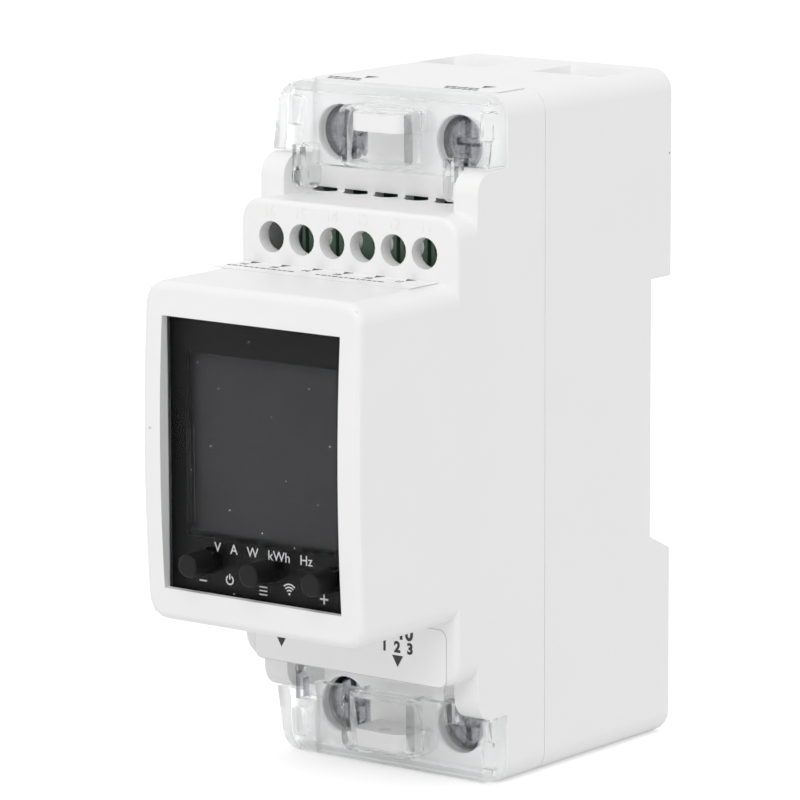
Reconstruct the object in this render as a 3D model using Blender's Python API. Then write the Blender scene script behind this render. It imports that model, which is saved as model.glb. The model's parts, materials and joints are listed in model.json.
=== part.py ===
"""Two-module energy meter for a 35 mm rail, modelled as its separate pieces.

The frame: x to the right, depth forward from the back face (the -Y direction), height up.
The origin lies under the middle of the meter, on the surface that it stands on.
"""

import math

import bmesh
import bpy
from mathutils import Vector

MM = 0.001

# Clearances
GAP = 0.3 * MM          # between neighbouring pieces
CONTACT = 0.1 * MM      # between pieces that are pressed or soldered together

# Case, seen from the front: the nose, then three bands towards each end
WIDTH = 36 * MM
NOSE_HEIGHT = 45 * MM
LEDGE_BAND = 8.6 * MM
HINGE_BAND = 5.3 * MM
COVER_BAND = 9.6 * MM
CORNER = 3 * MM
WALL = 2 * MM

# Case, seen from the side: depths added from the back face to the nose
REAR_DEPTH = 29.5 * MM
COLLAR_DEPTH = 8.2 * MM
CHEEK_PROUD = 6.6 * MM
LEDGE_PROUD = 11 * MM
NOSE_PROUD = 20.9 * MM
NOSE_CROWN = 1 * MM
BACK_EDGE = 0.7 * MM
LEDGE_EDGE = 0.8 * MM
NOSE_EDGE = 1.2 * MM
CHEEK_ROUND = 3 * MM
CHEEK_THICKNESS = 3.9 * MM
TERMINAL_WALL = 1.5 * MM
TERMINAL_WALL_SETBACK = 0.7 * MM
SEAM_GAP = 0.15 * MM
TONGUE_LENGTH = 1.5 * MM
TONGUE_THICKNESS = 0.8 * MM

# Rail channel and its fixed hooks
RAIL_CHANNEL = 35.5 * MM
RAIL_CHANNEL_DEPTH = 5 * MM
RAIL_LEAD_IN = 2.4 * MM
HOOK_REACH = 1.6 * MM
HOOK_BACK = 1.2 * MM
HOOK_FRONT = 3.4 * MM
HOOK_INNER = 4 * MM
HOOK_WIDTH = 5 * MM

# Rail clip
CLIP_WIDTH = 7.6 * MM
CLIP_FLANGE = 1.4 * MM
CLIP_BACK = 0.3 * MM
CLIP_FLANGE_BACK = 1.5 * MM
CLIP_FRONT = 3.9 * MM
CLIP_FOOT = 1 * MM
CLIP_HOOK = 1.7 * MM
CLIP_SLOT_WIDTH = 3.4 * MM
CLIP_SLOT_HEIGHT = 1.8 * MM
CLIP_SLOT_ABOVE_FOOT = 1.8 * MM
CLIP_HOUSING_WALL = 0.9 * MM
RAIL_HEIGHT = 35 * MM
SPRING_DIAMETER = 2.5 * MM
SPRING_WIRE = 0.4 * MM
SPRING_LENGTH = 9.5 * MM
SPRING_TURNS = 6
SPRING_LUG_HEIGHT = 1.8 * MM
SPRING_LUG_ABOVE_FOOT = 9.2 * MM

# Pane and display
BEZEL_SIDE = 3.3 * MM
BEZEL_END = 4.45 * MM
LENS_RECESS = 1.8 * MM
LENS_THICKNESS = 1.5 * MM
LENS_LIP = 2.1 * MM
CORNER_RIB = 2.3 * MM
LCD_BORDER = 0.6 * MM
LCD_BELOW_NOSE_WALL = 6.9 * MM
LCD_THICKNESS = 1.9 * MM
BACKLIGHT_THICKNESS = 2.8 * MM

# Buttons and indicators
BUTTON_DIAMETER = 3.1 * MM
BUTTON_PROUD = 3.5 * MM
BUTTON_ROW_FROM_NOSE_END = 8.4 * MM
BUTTON_ROW_ENDS = (3.15, 1.3)   # free room left and right of the row, in spaces between its parts
BUTTON_COLLAR = 4.3 * MM
BUTTON_COLLAR_THICKNESS = 0.7 * MM
SWITCH_SIZE = 6 * MM
SWITCH_DEPTH = 3.5 * MM
SWITCH_LID = 0.6 * MM
LIGHT_PIPE_DIAMETER = 1.5 * MM
LED_SIZE = 1.6 * MM
LED_THICKNESS = 0.6 * MM

# Boards
BOARD = 1.6 * MM
POWER_BOARD_BEHIND_SEAM = 0.3 * MM
CONTROL_BOARD_BEHIND_LEDGE = 5.1 * MM
DISPLAY_BOARD_BEHIND_LENS = 7.8 * MM
BOARD_RIB = 1.6 * MM
BOARD_RIB_HEIGHT = 3 * MM
BOARD_RIB_FROM_MIDDLE = 18 * MM
SPACER_RIB_FROM_MIDDLE = 10 * MM
PIN_PITCH = 2.54 * MM
PIN_WIDTH = 0.64 * MM
HEADER_BASE = 2.5 * MM
HEADER_PINS = 7
DISPLAY_HEADER_FROM_MIDDLE = 12 * MM
POWER_HEADER_FROM_MIDDLE = -12 * MM

# Main terminals
SCREW_HOLE_DIAMETER = 7.6 * MM
SCREW_FROM_END = 7 * MM
SCREW_HEAD_DIAMETER = 7 * MM
SCREW_HEAD_DEPTH = 2.6 * MM
SCREW_HEAD_SETBACK = 1.7 * MM
SCREW_SHANK_DIAMETER = 4 * MM
SCREW_SLOT = 0.9 * MM
SCREW_SLOT_DEPTH = 1.3 * MM
SCREW_CROSS = 3.8 * MM
WIRE_ENTRY_DEPTH = 8 * MM
WIRE_ENTRY_BACK = 6 * MM
WIRE_LEAD_IN = 1.3 * MM
WIRE_LEAD_IN_SIDE = 0.9 * MM
CAGE_HEIGHT = 8 * MM
CAGE_WALL = 1.4 * MM
CAGE_TRAVEL = 6 * MM
BUSBAR_THICKNESS = 1 * MM
BUSBAR_TAIL = 3 * MM
CARRIER_HEIGHT = 9.6 * MM
CARRIER_SKIN = 0.9 * MM

# Small terminals behind the ledge
POLE_PITCH = 5.08 * MM
POLE_HOLE_DIAMETER = 4.2 * MM
POLE_FROM_LEDGE_END = 5 * MM
COMMS_BLOCK_HEIGHT = 7.6 * MM
COMMS_BLOCK_SETBACK = 4.4 * MM
COMMS_END_WALL = 0.8 * MM
COMMS_GROOVE = 0.6 * MM
COMMS_GROOVE_DEPTH = 1.2 * MM
COMMS_SCREW_HEAD = 2.8 * MM
COMMS_SCREW_HEAD_DEPTH = 1.5 * MM
COMMS_SCREW_SHANK = 2 * MM
COMMS_SCREW_LENGTH = 7 * MM
COMMS_SCREW_SETBACK = 0.9 * MM
COMMS_SCREW_SLOT = 0.6 * MM
COMMS_WIRE_AHEAD_OF_SEAM = 5.1 * MM
COMMS_WIRE_DIAMETER = 4 * MM
COMMS_WIRE_NOTCH = 0.35 * MM

# Seal tabs
TAB_WIDTH = 8.8 * MM
TAB_THICKNESS = 2.3 * MM
TAB_FROM_END = 4.5 * MM
TAB_PROUD = 6 * MM
TAB_ROUND = 2 * MM
SEAL_HOLE_DIAMETER = 1.8 * MM
SEAL_HOLE_FROM_TIP = 2 * MM

# Clear covers
COVER_WALL = 1.4 * MM
COVER_INSET = 0.15 * MM
COVER_INNER_PROUD = 4.4 * MM
COVER_OUTER_PROUD = 2.7 * MM
COVER_BROW = 1.2 * MM
COVER_TONGUE = 1.5 * MM
SLEEVE_WIDTH = 12.4 * MM
SLEEVE_PROUD = 4.9 * MM
SLEEVE_WALL = 0.7 * MM
SLEEVE_ROUND = 1.5 * MM
SLEEVE_CLEAR = 0.35 * MM        # beside the seal tab
SLEEVE_HINGE_SIDE = 4.15 * MM   # free room for a seal wire
LEG_WIDTH = 2.6 * MM
LEG_EYE = 1.5 * MM
LEG_SLOT = 0.5 * MM
LEG_SLOT_FROM_SIDE = 0.7 * MM
LEG_SLOT_LENGTH = 2.7 * MM
HINGE_PIN_DIAMETER = 2 * MM
HINGE_PIN_LENGTH = 1.6 * MM
SNAP_HEIGHT = 4 * MM
SNAP_DEPTH = 2 * MM
SNAP_THICKNESS = 1.6 * MM
SNAP_FROM_END = 4.2 * MM

# Parts on the power and control boards
RELAY_SIDE_ROOM = 2.5 * MM
RELAY_HEIGHT = 21 * MM
RELAY_DEPTH = 15.5 * MM
TRANSFORMER_SIDE_ROOM = 5 * MM
TRANSFORMER_HEIGHT = 11.5 * MM
TRANSFORMER_DEPTH = 14 * MM
FILM_CAPACITOR_HEIGHT = 7 * MM
FILM_CAPACITOR_DEPTH = 12 * MM
BULK_CAPACITOR_DIAMETER = 8 * MM
BULK_CAPACITOR_LENGTH = 13 * MM
SHUNT_WIDTH = 5 * MM
SHUNT_SPAN = 14 * MM
SHUNT_RISE = 6 * MM
SHUNT_STRIP = 1.2 * MM
RADIO_BOARD = (15 * MM, 17 * MM, 0.9 * MM)
RADIO_CAN = (11.6 * MM, 11.6 * MM, 2 * MM)

# Places that follow from the sizes above
HEIGHT = NOSE_HEIGHT + 2 * (LEDGE_BAND + HINGE_BAND + COVER_BAND)
MIDDLE = HEIGHT / 2
COLLAR_FACE = REAR_DEPTH + COLLAR_DEPTH
TERMINAL_FACE = COLLAR_FACE - TERMINAL_WALL_SETBACK
TERMINAL_BACK = TERMINAL_FACE - TERMINAL_WALL
CHEEK_FACE = COLLAR_FACE + CHEEK_PROUD
LEDGE_FACE = COLLAR_FACE + LEDGE_PROUD
NOSE_FACE = LEDGE_FACE + NOSE_PROUD
LENS_FACE = NOSE_FACE - LENS_RECESS
LENS_BACK = LENS_FACE - LENS_THICKNESS
BUTTON_FACE = LENS_FACE + BUTTON_PROUD
TOTAL_DEPTH = max(BUTTON_FACE, NOSE_FACE)

NOSE_HALF = NOSE_HEIGHT / 2
LEDGE_HALF = NOSE_HALF + LEDGE_BAND
CHEEK_HALF = LEDGE_HALF + HINGE_BAND
INNER_HALF_WIDTH = WIDTH / 2 - WALL
CHEEK_INNER = WIDTH / 2 - CHEEK_THICKNESS
HINGE_DEPTH = CHEEK_FACE - CHEEK_ROUND
HINGE_OFFSET = CHEEK_HALF - CHEEK_ROUND

POWER_BOARD_FACE = REAR_DEPTH - POWER_BOARD_BEHIND_SEAM
POWER_BOARD_BACK = POWER_BOARD_FACE - BOARD
CONTROL_BOARD_FACE = LEDGE_FACE - CONTROL_BOARD_BEHIND_LEDGE
CONTROL_BOARD_BACK = CONTROL_BOARD_FACE - BOARD
DISPLAY_BOARD_FACE = LENS_FACE - DISPLAY_BOARD_BEHIND_LENS
DISPLAY_BOARD_BACK = DISPLAY_BOARD_FACE - BOARD

CARRIER_OUTER = HEIGHT / 2 - WALL - GAP
CARRIER_INNER = CARRIER_OUTER - CARRIER_HEIGHT
CLIP_HALF = CLIP_WIDTH / 2
CLIP_RIB_HALF = CLIP_HALF - CLIP_FLANGE
CLIP_HOUSING_HALF = CLIP_HALF + GAP + CLIP_HOUSING_WALL
CAGE_WIDTH = INNER_HALF_WIDTH - GAP - CARRIER_SKIN - GAP - CLIP_HOUSING_HALF - GAP
TERMINAL_X = CLIP_HOUSING_HALF + GAP + CAGE_WIDTH / 2
WIRE_ENTRY_WIDTH = CAGE_WIDTH + 2 * CONTACT
BUSBAR_WIDTH = CAGE_WIDTH - 2 * CAGE_WALL - 2 * GAP
TERMINAL_OFFSET = HEIGHT / 2 - SCREW_FROM_END
CAGE_BACK = WIRE_ENTRY_BACK - GAP - CAGE_WALL
BUSBAR_BACK = WIRE_ENTRY_BACK + WIRE_ENTRY_DEPTH
BUSBAR_FACE = BUSBAR_BACK + BUSBAR_THICKNESS
CAGE_FACE = BUSBAR_FACE + GAP + CAGE_WALL
SCREW_FACE = TERMINAL_FACE - SCREW_HEAD_SETBACK
SCREW_SEAT = SCREW_FACE - SCREW_HEAD_DEPTH

POLE_COUNT = int(2 * INNER_HALF_WIDTH // POLE_PITCH)
POLE_OFFSET = LEDGE_HALF - POLE_FROM_LEDGE_END
POLE_X = [(pole - (POLE_COUNT - 1) / 2) * POLE_PITCH for pole in range(POLE_COUNT)]
COMMS_BLOCK_FACE = LEDGE_FACE - COMMS_BLOCK_SETBACK
COMMS_BLOCK_INNER = LEDGE_HALF - WALL - GAP - COMMS_BLOCK_HEIGHT
COMMS_WIRE_DEPTH = REAR_DEPTH + COMMS_WIRE_AHEAD_OF_SEAM + COMMS_WIRE_DIAMETER / 2

WINDOW_WIDTH = WIDTH - 2 * BEZEL_SIDE
WINDOW_HEIGHT = NOSE_HEIGHT - 2 * BEZEL_END
BUTTON_OFFSET = BUTTON_ROW_FROM_NOSE_END - NOSE_HALF
LCD_WIDTH = WINDOW_WIDTH - 2 * LCD_BORDER
LCD_BOTTOM_OFFSET = BUTTON_OFFSET + SWITCH_SIZE / 2 + GAP
LCD_TOP_OFFSET = NOSE_HALF - WALL - LCD_BELOW_NOSE_WALL
BUTTON_ROW_ROOM = 2 * INNER_HALF_WIDTH - 3 * SWITCH_SIZE - 2 * LED_SIZE
BUTTON_ROW_SPACE = BUTTON_ROW_ROOM / (4 + sum(BUTTON_ROW_ENDS))
BUTTON_PITCH = SWITCH_SIZE + LED_SIZE + 2 * BUTTON_ROW_SPACE
BUTTON_ROW_X = BUTTON_ROW_ENDS[0] * BUTTON_ROW_SPACE + SWITCH_SIZE / 2 + BUTTON_PITCH - INNER_HALF_WIDTH
BUTTON_X = [BUTTON_ROW_X + step * BUTTON_PITCH for step in (-1, 0, 1)]
LIGHT_X = [BUTTON_ROW_X + step * BUTTON_PITCH / 2 for step in (-1, 1)]

RELAY = (2 * (INNER_HALF_WIDTH - RELAY_SIDE_ROOM), RELAY_HEIGHT, RELAY_DEPTH)
TRANSFORMER = (2 * (INNER_HALF_WIDTH - TRANSFORMER_SIDE_ROOM), TRANSFORMER_HEIGHT, TRANSFORMER_DEPTH)
FILM_CAPACITOR_WIDTH = 2 * (INNER_HALF_WIDTH - BOARD_RIB) - BULK_CAPACITOR_DIAMETER - 6 * GAP
FILM_CAPACITOR = (FILM_CAPACITOR_WIDTH, FILM_CAPACITOR_HEIGHT, FILM_CAPACITOR_DEPTH)

SIDES = {"upper": 1, "lower": -1}


def at(x, depth, height):
    """A point in the part's own frame."""
    return Vector((x, TOTAL_DEPTH / 2 - depth, height))


def level(side, offset):
    """Height of a point that lies an offset from the middle, towards one end."""
    return MIDDLE + side * offset


def rectangle(a0, a1, b0, b1):
    return [(a0, b0), (a1, b0), (a1, b1), (a0, b1)]


def arc(centre_a, centre_b, radius, start, end, steps):
    """Points along an arc, with its angles in degrees."""
    points = []
    for step in range(steps + 1):
        angle = math.radians(start + (end - start) * step / steps)
        points.append((centre_a + radius * math.cos(angle), centre_b + radius * math.sin(angle)))
    return points


def circle(centre_a, centre_b, diameter, sides=20):
    return arc(centre_a, centre_b, diameter / 2, 0, 360 - 360 / sides, sides - 1)


def rounded_rectangle(centre_a, centre_b, width, height, radius, steps=5):
    a = width / 2 - radius
    b = height / 2 - radius
    points = []
    for corner, (sign_a, sign_b) in enumerate(((1, 1), (-1, 1), (-1, -1), (1, -1))):
        start = 90 * corner
        points += arc(centre_a + sign_a * a, centre_b + sign_b * b, radius, start, start + 90, steps)
    return points


def mirrored(outline, side):
    """Depth and offset pairs turned into depth and height towards one end."""
    return [(depth, level(side, offset)) for depth, offset in outline]


PLACERS = {
    "x": lambda a, b, along: at(along, a, b),
    "depth": lambda a, b, along: at(a, along, b),
    "height": lambda a, b, along: at(a, b, along),
}


def prism(outline, direction, start, end):
    """Closed solid: a flat outline carried from start to end along one direction."""
    place = PLACERS[direction]
    mesh = bmesh.new()
    face = mesh.faces.new([mesh.verts.new(place(a, b, start)) for a, b in outline])
    grown = bmesh.ops.extrude_face_region(mesh, geom=[face])["geom"]
    far_corners = [item for item in grown if isinstance(item, bmesh.types.BMVert)]
    bmesh.ops.translate(mesh, vec=place(0, 0, end) - place(0, 0, start), verts=far_corners)
    bmesh.ops.recalc_face_normals(mesh, faces=mesh.faces)
    return mesh


def block(x0, x1, depth0, depth1, height0, height1):
    return prism(rectangle(x0, x1, height0, height1), "depth", depth0, depth1)


def slab(half_width, depth0, depth1, side, offset0, offset1):
    """A block across the middle plane, between two offsets towards one end."""
    return block(-half_width, half_width, depth0, depth1, level(side, offset0), level(side, offset1))


def turned(profile, x, height, sides=20):
    """Solid of revolution about the depth direction; the profile holds radius and depth pairs."""
    mesh = bmesh.new()
    corners = [mesh.verts.new(at(x + radius, depth, height)) for radius, depth in profile]
    edges = [mesh.edges.new(pair) for pair in zip(corners, corners[1:])]
    bmesh.ops.spin(mesh, geom=corners + edges, cent=at(x, 0, height), axis=(0, 1, 0),
                   angle=math.tau, steps=sides, use_merge=True)
    bmesh.ops.remove_doubles(mesh, verts=mesh.verts, dist=MM / 1000)
    bmesh.ops.recalc_face_normals(mesh, faces=mesh.faces)
    return mesh


def together(*meshes):
    """Several separate closed shapes as one mesh, for use as one cutter."""
    merged = meshes[0]
    for other in meshes[1:]:
        data = bpy.data.meshes.new("part")
        other.to_mesh(data)
        other.free()
        merged.from_mesh(data)
        bpy.data.meshes.remove(data)
    return merged


def round_rim(mesh, depth, width, segments=3):
    """Rounds the edges that lie all round a flat end of a prism."""
    y = at(0, depth, 0).y
    rim = [edge for edge in mesh.edges if all(abs(corner.co.y - y) < GAP / 10 for corner in edge.verts)]
    bmesh.ops.bevel(mesh, geom=rim, offset=width, offset_type="OFFSET", segments=segments,
                    profile=0.5, affect="EDGES", material=-1, clamp_overlap=False)
    return mesh


def material(name, colour, roughness, metallic=0.0, transmission=0.0):
    made = bpy.data.materials.new(name)
    made.use_nodes = True
    shader = made.node_tree.nodes["Principled BSDF"]
    shader.inputs["Base Color"].default_value = (*colour, 1)
    shader.inputs["Roughness"].default_value = roughness
    shader.inputs["Metallic"].default_value = metallic
    shader.inputs["Transmission Weight"].default_value = transmission
    made.diffuse_color = (*colour, 1)
    return made


def clear_scene():
    for item in list(bpy.data.objects):
        bpy.data.objects.remove(item, do_unlink=True)


def piece(name, mesh, finish, origin=None):
    """A named sub-part; a moving one gets its origin on its joint's axis."""
    place = origin or Vector((0, 0, 0))
    bmesh.ops.translate(mesh, vec=-place, verts=mesh.verts)
    data = bpy.data.meshes.new(name)
    mesh.to_mesh(data)
    mesh.free()
    data.materials.append(finish)
    made = bpy.data.objects.new(name, data)
    made.location = place
    bpy.context.scene.collection.objects.link(made)
    bpy.context.view_layer.update()
    return made


def combine(owner, mesh, operation):
    """A Boolean step whose second shape stays in the scene as a hidden guide."""
    step = f"{owner.name}_step_{len(owner.modifiers) + 1}"
    data = bpy.data.meshes.new(step)
    mesh.to_mesh(data)
    mesh.free()
    guide = bpy.data.objects.new(step, data)
    guide.hide_render = True
    guide.display_type = "WIRE"
    bpy.context.scene.collection.objects.link(guide)
    modifier = owner.modifiers.new(step, "BOOLEAN")
    modifier.operation = operation
    modifier.object = guide
    modifier.solver = "EXACT"


def add(owner, mesh):
    combine(owner, mesh, "UNION")


def cut(owner, mesh):
    combine(owner, mesh, "DIFFERENCE")


def smooth_by_angle(owner, degrees=30):
    owner.data.shade_smooth()
    owner.data.set_sharp_from_angle(angle=math.radians(degrees))


def case_outline(height, inset=0.0):
    """Rounded outline of the case or of one of its steps, seen from the front."""
    return rounded_rectangle(0, MIDDLE, WIDTH - 2 * inset, height - 2 * inset, max(CORNER - inset, GAP))


def rear_shell(finish):
    """Rear half of the case: an open box stepped forward round the rail channel."""
    body = prism(case_outline(HEIGHT), "depth", 0, REAR_DEPTH - SEAM_GAP)
    shell = piece("rear_shell", round_rim(body, 0, BACK_EDGE), finish)

    channel = RAIL_CHANNEL / 2
    channel_floor = RAIL_CHANNEL_DEPTH + WALL
    cavity = [
        (WALL, MIDDLE - HEIGHT / 2 + WALL),
        (REAR_DEPTH + WALL, MIDDLE - HEIGHT / 2 + WALL),
        (REAR_DEPTH + WALL, MIDDLE + HEIGHT / 2 - WALL),
        (WALL, MIDDLE + HEIGHT / 2 - WALL),
        (WALL, MIDDLE + channel + WALL),
        (channel_floor, MIDDLE + channel + WALL),
        (channel_floor, MIDDLE - channel - WALL),
        (WALL, MIDDLE - channel - RAIL_LEAD_IN - WALL),
    ]
    cut(shell, prism(cavity, "x", -INNER_HALF_WIDTH, INNER_HALF_WIDTH))

    rebate_inset = WALL - TONGUE_THICKNESS - GAP
    rebate_start = REAR_DEPTH - TONGUE_LENGTH - GAP
    cut(shell, prism(case_outline(HEIGHT, rebate_inset), "depth", rebate_start, REAR_DEPTH + WALL))

    rail_channel = [
        (-WALL, MIDDLE - channel - RAIL_LEAD_IN),
        (0, MIDDLE - channel - RAIL_LEAD_IN),
        (RAIL_CHANNEL_DEPTH, MIDDLE - channel),
        (RAIL_CHANNEL_DEPTH, MIDDLE + channel),
        (-WALL, MIDDLE + channel),
    ]
    cut(shell, prism(rail_channel, "x", -WIDTH, WIDTH))

    hook = mirrored([
        (HOOK_BACK, channel + WALL / 2),
        (HOOK_BACK, channel - HOOK_REACH / 2),
        (HOOK_BACK + HOOK_REACH / 2, channel - HOOK_REACH),
        (HOOK_FRONT, channel - HOOK_REACH),
        (HOOK_FRONT, channel + WALL / 2),
    ], 1)
    hooks = [prism(hook, "x", hand * HOOK_INNER, hand * (HOOK_INNER + HOOK_WIDTH)) for hand in (-1, 1)]
    add(shell, together(*hooks))

    entry_back = WIRE_ENTRY_BACK
    for side in SIDES.values():
        holes = [block(hand * TERMINAL_X - WIRE_ENTRY_WIDTH / 2, hand * TERMINAL_X + WIRE_ENTRY_WIDTH / 2,
                       entry_back, entry_back + WIRE_ENTRY_DEPTH,
                       level(side, HEIGHT / 2 - WALL - GAP), level(side, HEIGHT / 2 + WALL))
                 for hand in (-1, 1)]
        cut(shell, together(*holes))
        cut(shell, together(*[wire_funnel(side, hand) for hand in (-1, 1)]))

    for hand in (-1, 1):
        for side in SIDES.values():
            rib = block(hand * (INNER_HALF_WIDTH - BOARD_RIB), hand * (INNER_HALF_WIDTH + WALL / 2),
                        RAIL_CHANNEL_DEPTH + WALL / 2, POWER_BOARD_BACK - GAP,
                        level(side, BOARD_RIB_FROM_MIDDLE - BOARD_RIB_HEIGHT / 2),
                        level(side, BOARD_RIB_FROM_MIDDLE + BOARD_RIB_HEIGHT / 2))
            add(shell, rib)

    clip_guide(shell)
    return shell


def wire_funnel(side, hand):
    """Sloped mouth of a wire entry, wider than the entry at its back and at both sides."""
    middle = hand * TERMINAL_X
    half = WIRE_ENTRY_WIDTH / 2
    front = WIRE_ENTRY_BACK + WIRE_ENTRY_DEPTH
    mesh = block(middle - half, middle + half, WIRE_ENTRY_BACK, front,
                 level(side, HEIGHT / 2 - WIRE_LEAD_IN), level(side, HEIGHT / 2 + WIRE_LEAD_IN))
    outside = [corner for corner in mesh.verts if (corner.co.z - MIDDLE) * side > HEIGHT / 2]
    for corner in outside:
        corner.co.x += math.copysign(2 * WIRE_LEAD_IN_SIDE, corner.co.x - middle)
        if corner.co.y > at(0, front - GAP, 0).y:
            corner.co.y += 2 * WIRE_LEAD_IN
    return mesh


def clip_guide(shell):
    """Undercut channel for the rail clip, with the lug that the spring pushes against."""
    wide = CLIP_HALF + GAP
    narrow = CLIP_RIB_HALF + GAP
    floor = CLIP_FRONT + GAP
    top = MIDDLE - RAIL_CHANNEL / 2
    housing = block(-CLIP_HOUSING_HALF, CLIP_HOUSING_HALF, WALL / 2, floor + CLIP_HOUSING_WALL,
                    WALL / 2, top - RAIL_LEAD_IN / 2)
    add(shell, housing)
    channel = [
        (-wide, floor), (wide, floor), (wide, CLIP_FLANGE_BACK - GAP), (narrow, CLIP_FLANGE_BACK - GAP),
        (narrow, -WALL), (-narrow, -WALL), (-narrow, CLIP_FLANGE_BACK - GAP), (-wide, CLIP_FLANGE_BACK - GAP),
    ]
    cut(shell, prism(channel, "height", -WALL, top + WALL))
    lug_bottom = CLIP_FOOT + SPRING_LUG_ABOVE_FOOT
    lug_front = floor + CLIP_HOUSING_WALL / 2
    add(shell, block(-SPRING_DIAMETER / 2, SPRING_DIAMETER / 2, CLIP_FLANGE_BACK, lug_front,
                     lug_bottom, lug_bottom + SPRING_LUG_HEIGHT))


def nose_block():
    """The nose: a bar with a slightly crowned front, its long corners and its front rim rounded."""
    sagitta = NOSE_CROWN
    half = NOSE_HALF
    radius = (half ** 2 + sagitta ** 2) / (2 * sagitta)
    sweep = math.degrees(math.asin(half / radius))
    front = arc(NOSE_FACE - radius, MIDDLE, radius, -sweep, sweep, 10)
    outline = [(COLLAR_FACE, MIDDLE + half), (COLLAR_FACE, MIDDLE - half)] + front
    mesh = prism(outline, "x", -WIDTH / 2, WIDTH / 2)

    def runs_forward(edge):
        a, b = (corner.co for corner in edge.verts)
        return abs(a.x - b.x) < GAP / 10 and abs(a.z - b.z) < GAP / 10

    corners = [edge for edge in mesh.edges if runs_forward(edge)]
    bmesh.ops.bevel(mesh, geom=corners, offset=CORNER, offset_type="OFFSET", segments=5,
                    profile=0.5, affect="EDGES", material=-1, clamp_overlap=False)
    mesh.normal_update()
    rim = []
    for edge in mesh.edges:
        facing = sorted(face.normal.y for face in edge.link_faces)
        if facing[0] < -0.9 and facing[1] > -0.5:
            rim.append(edge)
    bmesh.ops.bevel(mesh, geom=rim, offset=NOSE_EDGE, offset_type="OFFSET", segments=3,
                    profile=0.5, affect="EDGES", material=-1, clamp_overlap=False)
    return mesh


def cheek_block():
    """The step that carries the covers' hinges, rounded about each hinge axis."""
    outline = [(REAR_DEPTH + WALL, CHEEK_HALF)]
    outline += arc(HINGE_DEPTH, HINGE_OFFSET, CHEEK_ROUND, 90, 0, 6)
    lower = [(depth, -offset) for depth, offset in reversed(outline)]
    return prism(mirrored(outline + lower, 1), "x", -WIDTH / 2, WIDTH / 2)


def front_shell(finish):
    """Front half of the case: collar, cheeks, ledge, nose and seal tabs in one moulding."""
    collar = prism(case_outline(HEIGHT), "depth", REAR_DEPTH, COLLAR_FACE)
    shell = piece("front_shell", collar, finish)
    tongue_outline = case_outline(HEIGHT, WALL - TONGUE_THICKNESS)
    add(shell, prism(tongue_outline, "depth", REAR_DEPTH - TONGUE_LENGTH, REAR_DEPTH + WALL))
    add(shell, cheek_block())
    ledge = prism(case_outline(2 * LEDGE_HALF), "depth", REAR_DEPTH + WALL, LEDGE_FACE)
    add(shell, round_rim(ledge, LEDGE_FACE, LEDGE_EDGE))
    add(shell, nose_block())

    behind = REAR_DEPTH - 2 * TONGUE_LENGTH
    cut(shell, prism(case_outline(HEIGHT, WALL), "depth", behind, TERMINAL_BACK))
    cut(shell, prism(case_outline(2 * LEDGE_HALF, WALL), "depth", behind, LEDGE_FACE - WALL))
    cut(shell, prism(case_outline(NOSE_HEIGHT, WALL), "depth", behind, LENS_FACE + CONTACT))
    for side in SIDES.values():
        cut(shell, slab(CHEEK_INNER, TERMINAL_FACE, CHEEK_FACE + WALL, side, LEDGE_HALF, HEIGHT / 2 + WALL))
        add(shell, seal_tab(side))
        seal_hole = circle(0, TERMINAL_FACE + TAB_PROUD - SEAL_HOLE_FROM_TIP, SEAL_HOLE_DIAMETER, 12)
        tab_offset = HEIGHT / 2 - TAB_FROM_END
        cut(shell, prism(seal_hole, "height", level(side, tab_offset - TAB_THICKNESS),
                         level(side, tab_offset + TAB_THICKNESS)))

    cut(shell, block(-WINDOW_WIDTH / 2, WINDOW_WIDTH / 2, LENS_BACK, NOSE_FACE + WALL,
                     MIDDLE - WINDOW_HEIGHT / 2, MIDDLE + WINDOW_HEIGHT / 2))
    screw_holes = [prism(circle(hand * TERMINAL_X, level(side, TERMINAL_OFFSET), SCREW_HOLE_DIAMETER, 28),
                         "depth", TERMINAL_BACK - WALL, TERMINAL_FACE + WALL)
                   for hand in (-1, 1) for side in SIDES.values()]
    cut(shell, together(*screw_holes))
    pole_holes = [prism(circle(x, level(1, POLE_OFFSET), POLE_HOLE_DIAMETER), "depth",
                        LEDGE_FACE - 2 * WALL, LEDGE_FACE + WALL) for x in POLE_X]
    cut(shell, together(*pole_holes))
    wire_holes = [prism(circle(x, COMMS_WIRE_DEPTH, COMMS_WIRE_DIAMETER, 14), "height",
                        level(1, LEDGE_HALF - 2 * WALL), level(1, LEDGE_HALF + COMMS_WIRE_NOTCH))
                  for x in POLE_X]
    cut(shell, together(*wire_holes))

    pin_clear = HINGE_PIN_DIAMETER + 2 * GAP
    hinge_holes = [prism(circle(HINGE_DEPTH, level(side, HINGE_OFFSET), pin_clear, 16), "x",
                         hand * (CHEEK_INNER - WALL), hand * (CHEEK_INNER + HINGE_PIN_LENGTH + GAP))
                   for hand in (-1, 1) for side in SIDES.values()]
    cut(shell, together(*hinge_holes))
    board_spacers(shell)
    return shell


def seal_tab(side):
    """Flat tab with a rounded tip that stands through the cover's sleeve."""
    tip = TERMINAL_FACE + TAB_PROUD
    half = TAB_WIDTH / 2
    straight = half - TAB_ROUND
    outline = [(-half, TERMINAL_BACK + TERMINAL_WALL / 2)]
    outline += arc(-straight, tip - TAB_ROUND, TAB_ROUND, 180, 90, 5)
    outline += arc(straight, tip - TAB_ROUND, TAB_ROUND, 90, 0, 5)
    outline += [(half, TERMINAL_BACK + TERMINAL_WALL / 2)]
    inner = HEIGHT / 2 - TAB_FROM_END - TAB_THICKNESS / 2
    return prism(outline, "height", level(side, inner), level(side, inner + TAB_THICKNESS))


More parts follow.
